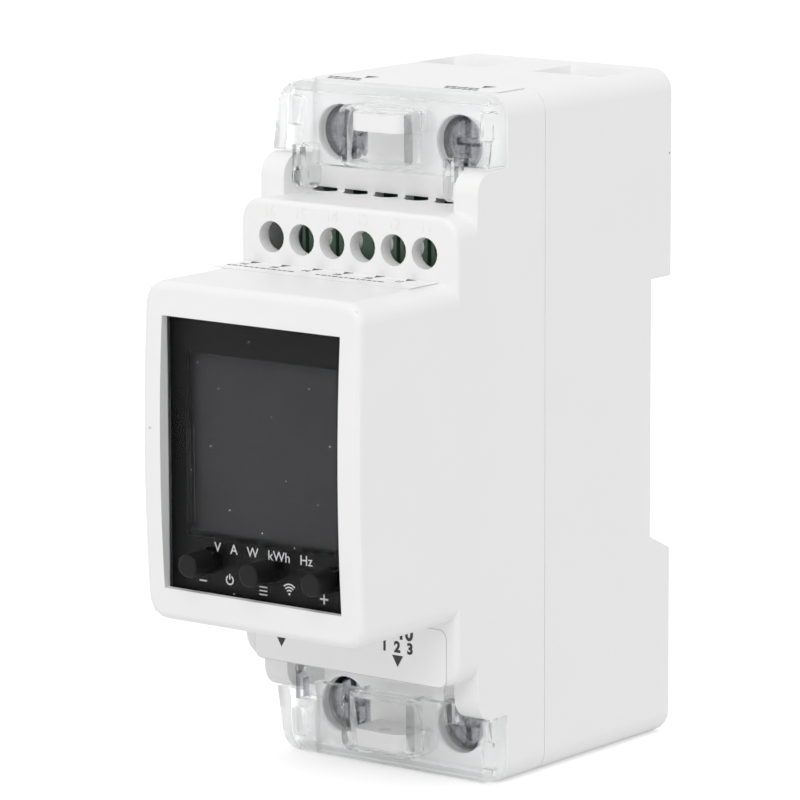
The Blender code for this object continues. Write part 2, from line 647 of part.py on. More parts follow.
def board_spacers(shell):
    """Ribs inside the front shell: between the two front boards, and behind the bezel's corners."""
    for hand in (-1, 1):
        for side in SIDES.values():
            add(shell, block(hand * (INNER_HALF_WIDTH - BOARD_RIB), hand * (INNER_HALF_WIDTH + WALL / 2),
                             CONTROL_BOARD_FACE + GAP, DISPLAY_BOARD_BACK - GAP,
                             level(side, SPACER_RIB_FROM_MIDDLE - BOARD_RIB_HEIGHT / 2),
                             level(side, SPACER_RIB_FROM_MIDDLE + BOARD_RIB_HEIGHT / 2)))
            inner_top = NOSE_HALF - WALL
            add(shell, block(hand * (INNER_HALF_WIDTH - CORNER_RIB), hand * (INNER_HALF_WIDTH + WALL / 2),
                             DISPLAY_BOARD_FACE + GAP, LENS_FACE + CONTACT + NOSE_CROWN / 2,
                             level(side, inner_top - LENS_LIP + GAP), level(side, inner_top + WALL / 2)))


def window_lens(finish):
    """Smoked pane behind the bezel, notched round the corner ribs and drilled for the buttons."""
    half = INNER_HALF_WIDTH - GAP
    waist = half - CORNER_RIB
    full = NOSE_HALF - WALL - GAP
    shoulder = NOSE_HALF - WALL - LENS_LIP
    outline = []
    for sign_x, sign_z in ((1, 1), (-1, 1), (-1, -1), (1, -1)):
        corner = [(sign_x * half, MIDDLE + sign_z * shoulder), (sign_x * waist, MIDDLE + sign_z * shoulder),
                  (sign_x * waist, MIDDLE + sign_z * full)]
        outline += corner if sign_x * sign_z > 0 else corner[::-1]
    lens = piece("window_lens", prism(outline, "depth", LENS_BACK, LENS_FACE), finish)
    holes = [prism(circle(x, level(1, BUTTON_OFFSET), BUTTON_DIAMETER + 2 * GAP), "depth",
                   LENS_BACK - WALL, LENS_FACE + WALL) for x in BUTTON_X]
    cut(lens, together(*holes))
    return lens


def display(glass, plastic):
    """Display glass on its light guide, above the row of buttons."""
    back = DISPLAY_BOARD_FACE + CONTACT
    middle = back + BACKLIGHT_THICKNESS
    guide = slab(LCD_WIDTH / 2, back, middle, 1, LCD_BOTTOM_OFFSET, LCD_TOP_OFFSET)
    piece("backlight", guide, plastic)
    face = middle + CONTACT + LCD_THICKNESS
    panel = slab(LCD_WIDTH / 2, middle + CONTACT, face, 1, LCD_BOTTOM_OFFSET, LCD_TOP_OFFSET)
    piece("lcd_panel", panel, glass)


def button(name, x, finish):
    """A post that runs from its switch through the pane, held in by a collar."""
    lid_back = DISPLAY_BOARD_FACE + CONTACT + SWITCH_DEPTH - SWITCH_LID
    collar_face = lid_back - GAP
    collar_back = collar_face - BUTTON_COLLAR_THICKNESS
    radius = BUTTON_DIAMETER / 2
    edge = radius / 8
    profile = [
        (0, BUTTON_FACE), (radius - edge, BUTTON_FACE), (radius, BUTTON_FACE - edge), (radius, collar_face),
        (BUTTON_COLLAR / 2, collar_face), (BUTTON_COLLAR / 2, collar_back), (0, collar_back),
    ]
    height = level(1, BUTTON_OFFSET)
    made = piece(name, turned(profile, x, height), finish, at(x, collar_back, height))
    smooth_by_angle(made)


def switch(name, x, finish):
    """Square switch housing with a lid that the button's post passes through."""
    back = DISPLAY_BOARD_FACE + CONTACT
    height = level(1, BUTTON_OFFSET)
    half = SWITCH_SIZE / 2
    body = block(x - half, x + half, back, back + SWITCH_DEPTH, height - half, height + half)
    made = piece(name, body, finish)
    face = back + SWITCH_DEPTH
    cut(made, prism(circle(x, height, BUTTON_COLLAR + 2 * GAP, 16), "depth", back - WALL, face - SWITCH_LID))
    cut(made, prism(circle(x, height, BUTTON_DIAMETER + 2 * GAP, 16), "depth", back, face + WALL))


def indicator(name, x, chip_finish, pipe_finish):
    """A light chip on the board and the clear rod that carries its light to the pane."""
    height = level(1, BUTTON_OFFSET)
    half = LED_SIZE / 2
    back = DISPLAY_BOARD_FACE + CONTACT
    chip = block(x - half, x + half, back, back + LED_THICKNESS, height - half, height + half)
    piece(f"{name}_led", chip, chip_finish)
    pipe_back = back + LED_THICKNESS + CONTACT
    pipe = prism(circle(x, height, LIGHT_PIPE_DIAMETER, 14), "depth", pipe_back, LENS_BACK - CONTACT)
    piece(f"{name}_light_pipe", pipe, pipe_finish)


def boards(finish):
    """Three boards across the case: power at the back, control in the ledge, display in the nose."""
    half = INNER_HALF_WIDTH - GAP
    power_half = CARRIER_INNER - GAP
    piece("power_board", block(-half, half, POWER_BOARD_BACK, POWER_BOARD_FACE,
                               MIDDLE - power_half, MIDDLE + power_half), finish)
    bottom = MIDDLE - (LEDGE_HALF - WALL - GAP)
    piece("control_board", block(-half, half, CONTROL_BOARD_BACK, CONTROL_BOARD_FACE,
                                 bottom, MIDDLE + COMMS_BLOCK_INNER - GAP), finish)
    display_half = NOSE_HALF - WALL - GAP
    piece("display_board", block(-half, half, DISPLAY_BOARD_BACK, DISPLAY_BOARD_FACE,
                                 MIDDLE - display_half, MIDDLE + display_half), finish)


def pin_header(name, back, face, offset, finish):
    """Two plastic strips joined by a row of pins."""
    height = level(1, offset)
    half = HEADER_PINS * PIN_PITCH / 2
    strip = PIN_PITCH / 2
    start = back + CONTACT
    end = face - CONTACT
    made = piece(name, block(-half, half, start, start + HEADER_BASE, height - strip, height + strip), finish)
    add(made, block(-half, half, end - HEADER_BASE, end, height - strip, height + strip))
    pins = []
    for pin in range(HEADER_PINS):
        x = (pin - (HEADER_PINS - 1) / 2) * PIN_PITCH
        pins.append(block(x - PIN_WIDTH / 2, x + PIN_WIDTH / 2,
                          start + HEADER_BASE / 2, end - HEADER_BASE / 2,
                          height - PIN_WIDTH / 2, height + PIN_WIDTH / 2))
    add(made, together(*pins))


def comms_block(plastic, steel):
    """Green block of small screw terminals behind the ledge; the first hole stays empty."""
    poles = POLE_X[1:]
    left = poles[0] - POLE_PITCH / 2 - COMMS_END_WALL
    right = poles[-1] + POLE_PITCH / 2 - GAP
    inner = level(1, COMMS_BLOCK_INNER)
    outer = inner + COMMS_BLOCK_HEIGHT
    back = POWER_BOARD_FACE + CONTACT
    made = piece("comms_terminal_block", block(left, right, back, COMMS_BLOCK_FACE, inner, outer), plastic)
    height = level(1, POLE_OFFSET)
    face = COMMS_BLOCK_FACE - COMMS_SCREW_SETBACK
    seat = face - COMMS_SCREW_HEAD_DEPTH
    wells = [prism(circle(x, height, COMMS_SCREW_HEAD + 2 * GAP, 16), "depth",
                   seat - GAP, COMMS_BLOCK_FACE + WALL) for x in poles]
    cut(made, together(*wells))
    bores = [prism(circle(x, height, COMMS_SCREW_SHANK + 2 * GAP, 12), "depth",
                   face - COMMS_SCREW_LENGTH - GAP, seat) for x in poles]
    cut(made, together(*bores))
    mouths = [prism(circle(x, COMMS_WIRE_DEPTH, COMMS_WIRE_DIAMETER - GAP, 14), "height",
                    inner + COMMS_BLOCK_HEIGHT / 3, outer + WALL) for x in poles]
    cut(made, together(*mouths))
    grooves = [block(x - POLE_PITCH / 2 - COMMS_GROOVE / 2, x - POLE_PITCH / 2 + COMMS_GROOVE / 2,
                     COMMS_BLOCK_FACE - COMMS_GROOVE_DEPTH, COMMS_BLOCK_FACE + WALL, inner - WALL, outer + WALL)
               for x in poles if x != poles[len(poles) // 2]]
    cut(made, together(*grooves))
    head = COMMS_SCREW_HEAD / 2
    shank = COMMS_SCREW_SHANK / 2
    for count, x in enumerate(poles, start=1):
        profile = [(0, face), (head, face), (head, seat), (shank, seat),
                   (shank, face - COMMS_SCREW_LENGTH), (0, face - COMMS_SCREW_LENGTH)]
        screw = piece(f"comms_screw_{count}", turned(profile, x, height, 14), steel, at(x, face, height))
        smooth_by_angle(screw)
        cut(screw, block(x - COMMS_SCREW_SLOT / 2, x + COMMS_SCREW_SLOT / 2,
                         face - COMMS_SCREW_HEAD_DEPTH / 2, face + WALL,
                         height - COMMS_SCREW_HEAD, height + COMMS_SCREW_HEAD))


def terminal_carrier(name, side, finish):
    """Dark insert that guides two cages, with a well for each screw head."""
    half = INNER_HALF_WIDTH - GAP
    body = slab(half, WALL + GAP, TERMINAL_BACK - GAP, side, CARRIER_INNER, CARRIER_OUTER)
    made = piece(name, body, finish)
    if side < 0:
        clip_housing_face = CLIP_FRONT + GAP + CLIP_HOUSING_WALL
        cut(made, slab(CLIP_HOUSING_HALF + GAP, 0, clip_housing_face + GAP, side,
                       CARRIER_INNER - WALL, CARRIER_OUTER + WALL))
    for hand in (-1, 1):
        x = hand * TERMINAL_X
        chamber = block(x - CAGE_WIDTH / 2 - GAP, x + CAGE_WIDTH / 2 + GAP,
                        CAGE_BACK - GAP, CAGE_FACE + CAGE_TRAVEL + GAP,
                        level(side, CARRIER_INNER + CARRIER_SKIN), level(side, CARRIER_OUTER + WALL))
        cut(made, chamber)
        slit = block(x - BUSBAR_WIDTH / 2 - GAP, x + BUSBAR_WIDTH / 2 + GAP,
                     BUSBAR_BACK - GAP, BUSBAR_FACE + GAP,
                     level(side, CARRIER_INNER - WALL), level(side, CARRIER_INNER + 2 * CARRIER_SKIN))
        cut(made, slit)
        height = level(side, TERMINAL_OFFSET)
        bore = prism(circle(x, height, SCREW_SHANK_DIAMETER + 2 * GAP, 16), "depth", CAGE_FACE, SCREW_SEAT)
        cut(made, bore)
        well = circle(x, height, SCREW_HOLE_DIAMETER, 28)
        cut(made, prism(well, "depth", SCREW_SEAT - GAP, TERMINAL_BACK + WALL))
    return made


def clamp_cage(name, side, hand, finish):
    """Steel box open towards the wire entry, drawn forward by its screw."""
    x = hand * TERMINAL_X
    half = CAGE_WIDTH / 2
    outer = CARRIER_OUTER - GAP
    inner = outer - CAGE_HEIGHT
    origin = at(x, CAGE_FACE, level(side, TERMINAL_OFFSET))
    body = block(x - half, x + half, CAGE_BACK, CAGE_FACE, level(side, inner), level(side, outer))
    made = piece(name, body, finish, origin)
    cut(made, block(x - half + CAGE_WALL, x + half - CAGE_WALL, CAGE_BACK + CAGE_WALL, CAGE_FACE - CAGE_WALL,
                    level(side, inner - WALL), level(side, outer + WALL)))
    cut(made, prism(circle(x, level(side, TERMINAL_OFFSET), SCREW_SHANK_DIAMETER + 2 * GAP, 16), "depth",
                    CAGE_FACE - 2 * CAGE_WALL + GAP, CAGE_FACE + WALL))


def terminal_screw(name, side, hand, finish):
    """Clamp screw with a combined slot and cross, its tip just short of the busbar."""
    x = hand * TERMINAL_X
    height = level(side, TERMINAL_OFFSET)
    head = SCREW_HEAD_DIAMETER / 2
    shank = SCREW_SHANK_DIAMETER / 2
    edge = shank / 4
    tip = BUSBAR_FACE + GAP
    profile = [(0, SCREW_FACE), (head - edge, SCREW_FACE), (head, SCREW_FACE - edge), (head, SCREW_SEAT),
               (shank, SCREW_SEAT), (shank, tip + edge), (shank - edge, tip), (0, tip)]
    made = piece(name, turned(profile, x, height), finish, at(x, SCREW_FACE, height))
    smooth_by_angle(made)
    floor = SCREW_FACE - SCREW_SLOT_DEPTH
    half = SCREW_SLOT / 2
    cut(made, block(x - half, x + half, floor, SCREW_FACE + WALL, height - 2 * head, height + 2 * head))
    cut(made, block(x - SCREW_CROSS / 2, x + SCREW_CROSS / 2, floor, SCREW_FACE + WALL,
                    height - half, height + half))


def busbar(name, side, hand, finish):
    """Copper strip from the cage towards the middle, bent forward to the power board."""
    x = hand * TERMINAL_X
    outer = CARRIER_OUTER - GAP
    inner = CARRIER_INNER - BUSBAR_TAIL
    outline = mirrored([
        (BUSBAR_BACK, outer), (BUSBAR_BACK, inner), (POWER_BOARD_BACK - CONTACT, inner),
        (POWER_BOARD_BACK - CONTACT, inner + BUSBAR_THICKNESS), (BUSBAR_FACE, inner + BUSBAR_THICKNESS),
        (BUSBAR_FACE, outer),
    ], side)
    half = BUSBAR_WIDTH / 2
    piece(name, prism(outline, "x", x - half, x + half), finish)


def cover(name, side, finish):
    """Clear hinged cover: a sloping plate with side walls, a sleeve round the seal tab,
    and two legs with pins that turn in the cheeks."""
    back = COLLAR_FACE + GAP
    end = HEIGHT / 2 - COVER_INSET
    skirt = CHEEK_HALF + GAP
    tongue = CHEEK_HALF - COVER_TONGUE + GAP
    inner_face = COLLAR_FACE + COVER_INNER_PROUD
    outer_face = COLLAR_FACE + COVER_OUTER_PROUD
    brow = end - COVER_BROW

    def plate_face(offset):
        share = (offset - tongue) / (brow - tongue)
        return inner_face + (outer_face - inner_face) * share

    outer = [(back, skirt), (plate_face(skirt), skirt)]
    outer += arc(outer_face - COVER_BROW, brow, COVER_BROW, 0, 90, 4)
    outer += [(back, end)]
    low = tongue - WALL
    roof = end - COVER_WALL
    hollow = mirrored([
        (back - WALL, low), (plate_face(low) - COVER_WALL, low),
        (plate_face(roof) - COVER_WALL, roof), (back - WALL, roof),
    ], side)

    origin = at(0, HINGE_DEPTH, level(side, HINGE_OFFSET))
    made = piece(name, prism(mirrored(outer, side), "x", -WIDTH / 2, WIDTH / 2), finish, origin)
    outline = case_outline(HEIGHT, COVER_INSET)
    combine(made, prism(outline, "depth", back - WALL, inner_face + WALL), "INTERSECT")
    half = CHEEK_INNER - GAP
    middle = mirrored([(back, tongue), (plate_face(tongue), tongue), (plate_face(skirt + WALL), skirt + WALL),
                       (back, skirt + WALL)], side)
    add(made, prism(middle, "x", -half, half))
    inside = WIDTH / 2 - COVER_WALL
    cut(made, prism(hollow, "x", -inside, inside))
    tab_offset = HEIGHT / 2 - TAB_FROM_END
    slot_inner = tab_offset - TAB_THICKNESS / 2 - SLEEVE_HINGE_SIDE
    slot_outer = tab_offset + TAB_THICKNESS / 2 + GAP
    sleeve_inner = slot_inner - SLEEVE_WALL
    sleeve_outer = slot_outer + SLEEVE_WALL
    sleeve = rounded_rectangle(0, level(side, (sleeve_inner + sleeve_outer) / 2), SLEEVE_WIDTH,
                               sleeve_outer - sleeve_inner, SLEEVE_ROUND, 3)
    add(made, prism(sleeve, "depth", back, COLLAR_FACE + SLEEVE_PROUD))
    cut(made, slab(TAB_WIDTH / 2 + SLEEVE_CLEAR, back - WALL, COLLAR_FACE + SLEEVE_PROUD + WALL, side,
                   slot_inner, slot_outer))

    leg_outer = CHEEK_INNER - GAP
    leg_inner = leg_outer - LEG_WIDTH
    leg_end = skirt + WALL / 2
    leg = [(HINGE_DEPTH + LEG_EYE, leg_end), (HINGE_DEPTH - LEG_EYE, leg_end)]
    leg += arc(HINGE_DEPTH, HINGE_OFFSET, LEG_EYE, 180, 360, 8)
    split = leg_outer - LEG_SLOT_FROM_SIDE
    split_end = leg_end - GAP
    for hand in (-1, 1):
        add(made, prism(mirrored(leg, side), "x", hand * leg_inner, hand * leg_outer))
        cut(made, block(hand * split, hand * (split - LEG_SLOT), HINGE_DEPTH - GAP, HINGE_DEPTH + 2 * LEG_EYE,
                        level(side, split_end - LEG_SLOT_LENGTH), level(side, split_end)))
        pin = circle(HINGE_DEPTH, level(side, HINGE_OFFSET), HINGE_PIN_DIAMETER, 14)
        pin_start = leg_outer - LEG_WIDTH / 2
        add(made, prism(pin, "x", hand * pin_start, hand * (CHEEK_INNER + HINGE_PIN_LENGTH)))
        snap = rounded_rectangle(back + GAP + SNAP_DEPTH / 2, level(side, HEIGHT / 2 - SNAP_FROM_END),
                                 SNAP_DEPTH, SNAP_HEIGHT, SNAP_DEPTH / 2 - GAP, 3)
        add(made, prism(snap, "x", hand * (inside - SNAP_THICKNESS), hand * (inside + COVER_WALL / 2)))
    return made


def rail_clip(finish):
    """Sliding foot with a sloped hook, a window for its spring and a slot for a tool."""
    top = MIDDLE - RAIL_CHANNEL / 2 - GAP
    rail_edge = MIDDLE - RAIL_HEIGHT / 2
    wide = CLIP_HALF
    narrow = CLIP_RIB_HALF
    section = [
        (-wide, CLIP_FRONT), (wide, CLIP_FRONT), (wide, CLIP_FLANGE_BACK), (narrow, CLIP_FLANGE_BACK),
        (narrow, CLIP_BACK), (-narrow, CLIP_BACK), (-narrow, CLIP_FLANGE_BACK), (-wide, CLIP_FLANGE_BACK),
    ]
    lug_bottom = CLIP_FOOT + SPRING_LUG_ABOVE_FOOT
    origin = at(0, CLIP_FRONT, lug_bottom)
    made = piece("rail_clip", prism(section, "height", CLIP_FOOT, top - RAIL_LEAD_IN), finish, origin)
    hook = [(CLIP_BACK, top - 2 * RAIL_LEAD_IN), (CLIP_FRONT, top - 2 * RAIL_LEAD_IN),
            (CLIP_FRONT, rail_edge + CLIP_HOOK), (CLIP_FRONT - CLIP_HOOK / 3, rail_edge + CLIP_HOOK),
            (CLIP_BACK, top - RAIL_LEAD_IN + GAP)]
    add(made, prism(hook, "x", -narrow, narrow))
    spring_half = SPRING_DIAMETER / 2 + GAP
    window_bottom = lug_bottom - GAP
    window_top = lug_bottom + SPRING_LUG_HEIGHT + CONTACT + SPRING_LENGTH + CONTACT
    cut(made, block(-spring_half, spring_half, -WALL, CLIP_FRONT + WALL, window_bottom, window_top))
    slot_bottom = CLIP_FOOT + CLIP_SLOT_ABOVE_FOOT
    cut(made, block(-CLIP_SLOT_WIDTH / 2, CLIP_SLOT_WIDTH / 2, -WALL, CLIP_FRONT + WALL,
                    slot_bottom, slot_bottom + CLIP_SLOT_HEIGHT))
    return made


def clip_spring(finish):
    """Compression spring between the shell's lug and the top of the clip's window."""
    curve = bpy.data.curves.new("clip_spring", "CURVE")
    curve.dimensions = "3D"
    curve.bevel_depth = SPRING_WIRE / 2
    curve.bevel_resolution = 1
    curve.use_fill_caps = True
    steps = 12 * SPRING_TURNS
    line = curve.splines.new("POLY")
    line.points.add(steps)
    radius = (SPRING_DIAMETER - SPRING_WIRE) / 2
    depth = (CLIP_FLANGE_BACK + CLIP_FRONT) / 2
    bottom = CLIP_FOOT + SPRING_LUG_ABOVE_FOOT + SPRING_LUG_HEIGHT + CONTACT + SPRING_WIRE / 2
    rise = SPRING_LENGTH - SPRING_WIRE
    for step, point in enumerate(line.points):
        turn = math.tau * SPRING_TURNS * step / steps
        place = at(radius * math.cos(turn), depth + radius * math.sin(turn), bottom + rise * step / steps)
        point.co = (*place, 1)
    curve.materials.append(finish)
    made = bpy.data.objects.new("clip_spring", curve)
    bpy.context.scene.collection.objects.link(made)


def on_power_board(name, centre_x, centre_offset, size, finish):
    """A boxed component soldered to the rear face of the power board."""
    width, height, depth = size
    face = POWER_BOARD_BACK - CONTACT
    middle = level(1, centre_offset)
    return piece(name, block(centre_x - width / 2, centre_x + width / 2, face - depth, face,
                             middle - height / 2, middle + height / 2), finish)


def power_parts(black, yellow, sleeve, copper, winding):
    """Relay, supply parts and shunt, stacked from top to bottom behind the power board."""
    width, height, depth = RELAY
    relay_offset = GAP + height / 2
    relay = on_power_board("latching_relay", 0, relay_offset, RELAY, black)
    face = POWER_BOARD_BACK - CONTACT
    cut(relay, slab(width, face - depth - WALL, face - depth + CAGE_WALL, 1,
                    relay_offset + height / 4, relay_offset + height / 2 + WALL))

    strip = SHUNT_STRIP
    half = SHUNT_SPAN / 2
    shunt_offset = relay_offset + height / 2 + GAP + SHUNT_WIDTH / 2
    bridge = [(-half, face), (-half, face - SHUNT_RISE), (half, face - SHUNT_RISE), (half, face),
              (half - strip, face), (half - strip, face - SHUNT_RISE + strip),
              (strip - half, face - SHUNT_RISE + strip), (strip - half, face)]
    piece("shunt", prism(bridge, "height", level(1, shunt_offset - SHUNT_WIDTH / 2),
                         level(1, shunt_offset + SHUNT_WIDTH / 2)), copper)

    core_height = TRANSFORMER[1]
    core_offset = -GAP - core_height / 2
    transformer = on_power_board("supply_transformer", 0, core_offset, TRANSFORMER, winding)
    core_back = face - TRANSFORMER[2] - CAGE_WALL
    core_level = level(1, core_offset)
    add(transformer, block(-TRANSFORMER[0] / 4, TRANSFORMER[0] / 4, core_back, face - CAGE_WALL,
                           core_level - core_height / 3, core_level + core_height / 3))

    lower_offset = core_offset - core_height / 2 - GAP - BULK_CAPACITOR_DIAMETER / 2
    film_x = -INNER_HALF_WIDTH + BOARD_RIB + 2 * GAP + FILM_CAPACITOR[0] / 2
    on_power_board("film_capacitor", film_x, lower_offset, FILM_CAPACITOR, yellow)
    can_x = film_x + FILM_CAPACITOR[0] / 2 + 2 * GAP + BULK_CAPACITOR_DIAMETER / 2
    radius = BULK_CAPACITOR_DIAMETER / 2
    end = face - BULK_CAPACITOR_LENGTH
    neck = radius / 8
    profile = [(0, face), (radius, face), (radius, face - 3 * neck), (radius - neck, face - 4 * neck),
               (radius, face - 5 * neck), (radius, end + neck), (radius - neck, end), (0, end)]
    can = piece("bulk_capacitor", turned(profile, can_x, level(1, lower_offset), 18), sleeve)
    smooth_by_angle(can)


def radio_module(finish):
    """Small radio board with its screening can, on the control board."""
    width, height, thickness = RADIO_BOARD
    back = CONTROL_BOARD_FACE + CONTACT
    made = piece("radio_module", block(-width / 2, width / 2, back, back + thickness,
                                       MIDDLE - height / 2, MIDDLE + height / 2), finish)
    can_width, can_height, can_depth = RADIO_CAN
    add(made, block(-can_width / 2, can_width / 2, back + thickness / 2, back + thickness + can_depth,
                    MIDDLE - can_height / 2, MIDDLE + can_height / 2))


def build():
    clear_scene()
    housing = material("housing", (0.80, 0.80, 0.79), 0.42)
    smoked = material("smoked_pane", (0.02, 0.02, 0.022), 0.08, transmission=0.6)
    clear = material("clear_cover", (0.93, 0.94, 0.95), 0.06, transmission=1.0)
    black = material("black_plastic", (0.02, 0.02, 0.02), 0.45)
    green = material("green_plastic", (0.01, 0.12, 0.06), 0.4)
    steel = material("zinc_steel", (0.62, 0.63, 0.65), 0.3, metallic=1.0)
    copper = material("tinned_copper", (0.72, 0.55, 0.42), 0.3, metallic=1.0)
    laminate = material("board", (0.02, 0.16, 0.07), 0.45)
    glass = material("display_glass", (0.05, 0.05, 0.055), 0.2)
    diffuser = material("diffuser", (0.85, 0.86, 0.86), 0.5)
    acrylic = material("acrylic", (0.9, 0.9, 0.9), 0.1, transmission=0.9)
    yellow = material("film_case", (0.75, 0.55, 0.06), 0.4)
    sleeve = material("capacitor_sleeve", (0.03, 0.03, 0.05), 0.35)
    winding = material("winding_tape", (0.7, 0.6, 0.15), 0.5)
    grey = material("clip_plastic", (0.35, 0.36, 0.37), 0.5)

    rear_shell(housing)
    front_shell(housing)
    window_lens(smoked)
    display(glass, diffuser)
    for name, x in zip(("left", "middle", "right"), BUTTON_X):
        button(f"{name}_button", x, black)
        switch(f"{name}_switch", x, black)
    for name, x in zip(("left", "right"), LIGHT_X):
        indicator(name, x, diffuser, acrylic)
    boards(laminate)
    pin_header("display_header", CONTROL_BOARD_FACE, DISPLAY_BOARD_BACK, DISPLAY_HEADER_FROM_MIDDLE, black)
    pin_header("power_header", POWER_BOARD_FACE, CONTROL_BOARD_BACK, POWER_HEADER_FROM_MIDDLE, black)
    comms_block(green, steel)
    for end, side in SIDES.items():
        terminal_carrier(f"{end}_terminal_carrier", side, black)
        for place, hand in (("left", -1), ("right", 1)):
            clamp_cage(f"{end}_{place}_cage", side, hand, steel)
            terminal_screw(f"{end}_{place}_screw", side, hand, steel)
            busbar(f"{end}_{place}_busbar", side, hand, copper)
        cover(f"{end}_cover", side, clear)
    rail_clip(grey)
    clip_spring(steel)
    power_parts(black, yellow, sleeve, copper, winding)
    radio_module(laminate)


build()
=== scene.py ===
"""Looks of the two-module rail energy meter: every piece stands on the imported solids.

The frame and the studio are in metres, and the sizes of the meter's own pieces in millimetres.
"""
import json
import math

import bmesh
import bpy
from mathutils import Matrix, Vector

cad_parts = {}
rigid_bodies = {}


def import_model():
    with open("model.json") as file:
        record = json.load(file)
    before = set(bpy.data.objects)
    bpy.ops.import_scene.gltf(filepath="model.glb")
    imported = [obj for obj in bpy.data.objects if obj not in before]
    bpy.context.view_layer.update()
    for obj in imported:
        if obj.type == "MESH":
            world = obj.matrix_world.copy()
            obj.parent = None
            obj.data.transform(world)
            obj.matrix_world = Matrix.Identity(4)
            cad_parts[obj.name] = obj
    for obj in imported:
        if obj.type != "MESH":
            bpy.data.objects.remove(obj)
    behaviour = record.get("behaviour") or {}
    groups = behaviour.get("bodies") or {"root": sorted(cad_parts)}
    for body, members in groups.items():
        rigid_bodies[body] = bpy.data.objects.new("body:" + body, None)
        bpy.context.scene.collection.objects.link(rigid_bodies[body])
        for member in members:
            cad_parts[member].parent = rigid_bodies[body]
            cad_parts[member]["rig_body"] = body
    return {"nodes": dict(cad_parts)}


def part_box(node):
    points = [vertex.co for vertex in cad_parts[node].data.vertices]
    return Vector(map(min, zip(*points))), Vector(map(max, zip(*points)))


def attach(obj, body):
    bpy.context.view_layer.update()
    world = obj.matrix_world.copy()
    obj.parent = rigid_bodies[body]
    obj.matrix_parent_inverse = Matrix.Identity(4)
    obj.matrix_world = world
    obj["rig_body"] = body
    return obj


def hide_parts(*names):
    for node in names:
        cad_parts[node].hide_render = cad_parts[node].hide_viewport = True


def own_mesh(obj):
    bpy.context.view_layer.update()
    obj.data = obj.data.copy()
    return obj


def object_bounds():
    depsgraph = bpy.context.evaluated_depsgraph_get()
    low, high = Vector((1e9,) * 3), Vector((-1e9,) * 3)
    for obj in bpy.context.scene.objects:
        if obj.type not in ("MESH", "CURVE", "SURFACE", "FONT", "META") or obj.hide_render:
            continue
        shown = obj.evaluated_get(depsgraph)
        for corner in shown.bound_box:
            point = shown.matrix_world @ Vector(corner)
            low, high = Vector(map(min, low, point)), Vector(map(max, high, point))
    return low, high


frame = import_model()
cad_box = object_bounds()


# Studio: a camera placed as the photographer's was, a bright even room, one wide soft lamp
# above the front, and a pale table top that runs far behind the meter and keeps its shadow.
CAMERA_PLACE = (0.425245, -0.553432, 0.173745)
CAMERA_TURNS = (79.91994, 0.196913, 37.594995)
CAMERA_LENS = 239.27
CAMERA_FILM = 36
NEAREST_SEEN = 0.02
FURTHEST_SEEN = 20
camera = bpy.data.objects.new("photo_camera", bpy.data.cameras.new("photo_camera"))
camera.location = CAMERA_PLACE
camera.rotation_euler = [math.radians(turn) for turn in CAMERA_TURNS]
camera.data.lens = CAMERA_LENS
camera.data.sensor_width = CAMERA_FILM
camera.data.clip_start = NEAREST_SEEN
camera.data.clip_end = FURTHEST_SEEN
bpy.context.scene.collection.objects.link(camera)
bpy.context.scene.camera = camera
bpy.context.scene.view_settings.view_transform = "Standard"


def sees_background(tree):
    """1 for the rays that show the background: from the camera, in a reflection, through glass."""
    path = tree.nodes.new("ShaderNodeLightPath")
    seen = path.outputs["Is Camera Ray"]
    for ray in ("Is Glossy Ray", "Is Transmission Ray"):
        either = tree.nodes.new("ShaderNodeMath")
        either.operation = "MAXIMUM"
        tree.links.new(seen, either.inputs[0])
        tree.links.new(path.outputs[ray], either.inputs[1])
        seen = either.outputs[0]
    return seen


ROOM_LIGHT = 0.74
WHITE = (1, 1, 1, 1)
room = bpy.data.worlds.new("room")
room.use_nodes = True
bpy.context.scene.world = room
background = room.node_tree.nodes["Background"]
background.inputs["Color"].default_value = WHITE
room_strength = room.node_tree.nodes.new("ShaderNodeMapRange")
room_strength.inputs["To Min"].default_value = ROOM_LIGHT
room_strength.inputs["To Max"].default_value = 1
room.node_tree.links.new(sees_background(room.node_tree), room_strength.inputs["Value"])
room.node_tree.links.new(room_strength.outputs["Result"], background.inputs["Strength"])

LAMP_LIGHT = 0.82
LAMP_FROM = (0.23, -0.62, 0.75)
LAMP_SPREAD = 40
lamp = bpy.data.objects.new("soft_lamp", bpy.data.lights.new("soft_lamp", "SUN"))
lamp.data.energy = LAMP_LIGHT
lamp.data.angle = math.radians(LAMP_SPREAD)
lamp.rotation_euler = Vector(LAMP_FROM).to_track_quat("Z", "Y").to_euler()
bpy.context.scene.collection.objects.link(lamp)


def new_finish(name, colour, roughness, **sockets):
    """A finish whose plain values stand on the shader's own sockets."""
    finish = bpy.data.materials.new(name)
    finish.use_nodes = True
    shader = finish.node_tree.nodes["Principled BSDF"]
    shader.inputs["Base Color"].default_value = (*colour, 1)
    shader.inputs["Roughness"].default_value = roughness
    for socket, value in sockets.items():
        shader.inputs[socket.replace("_", " ")].default_value = value
    return finish


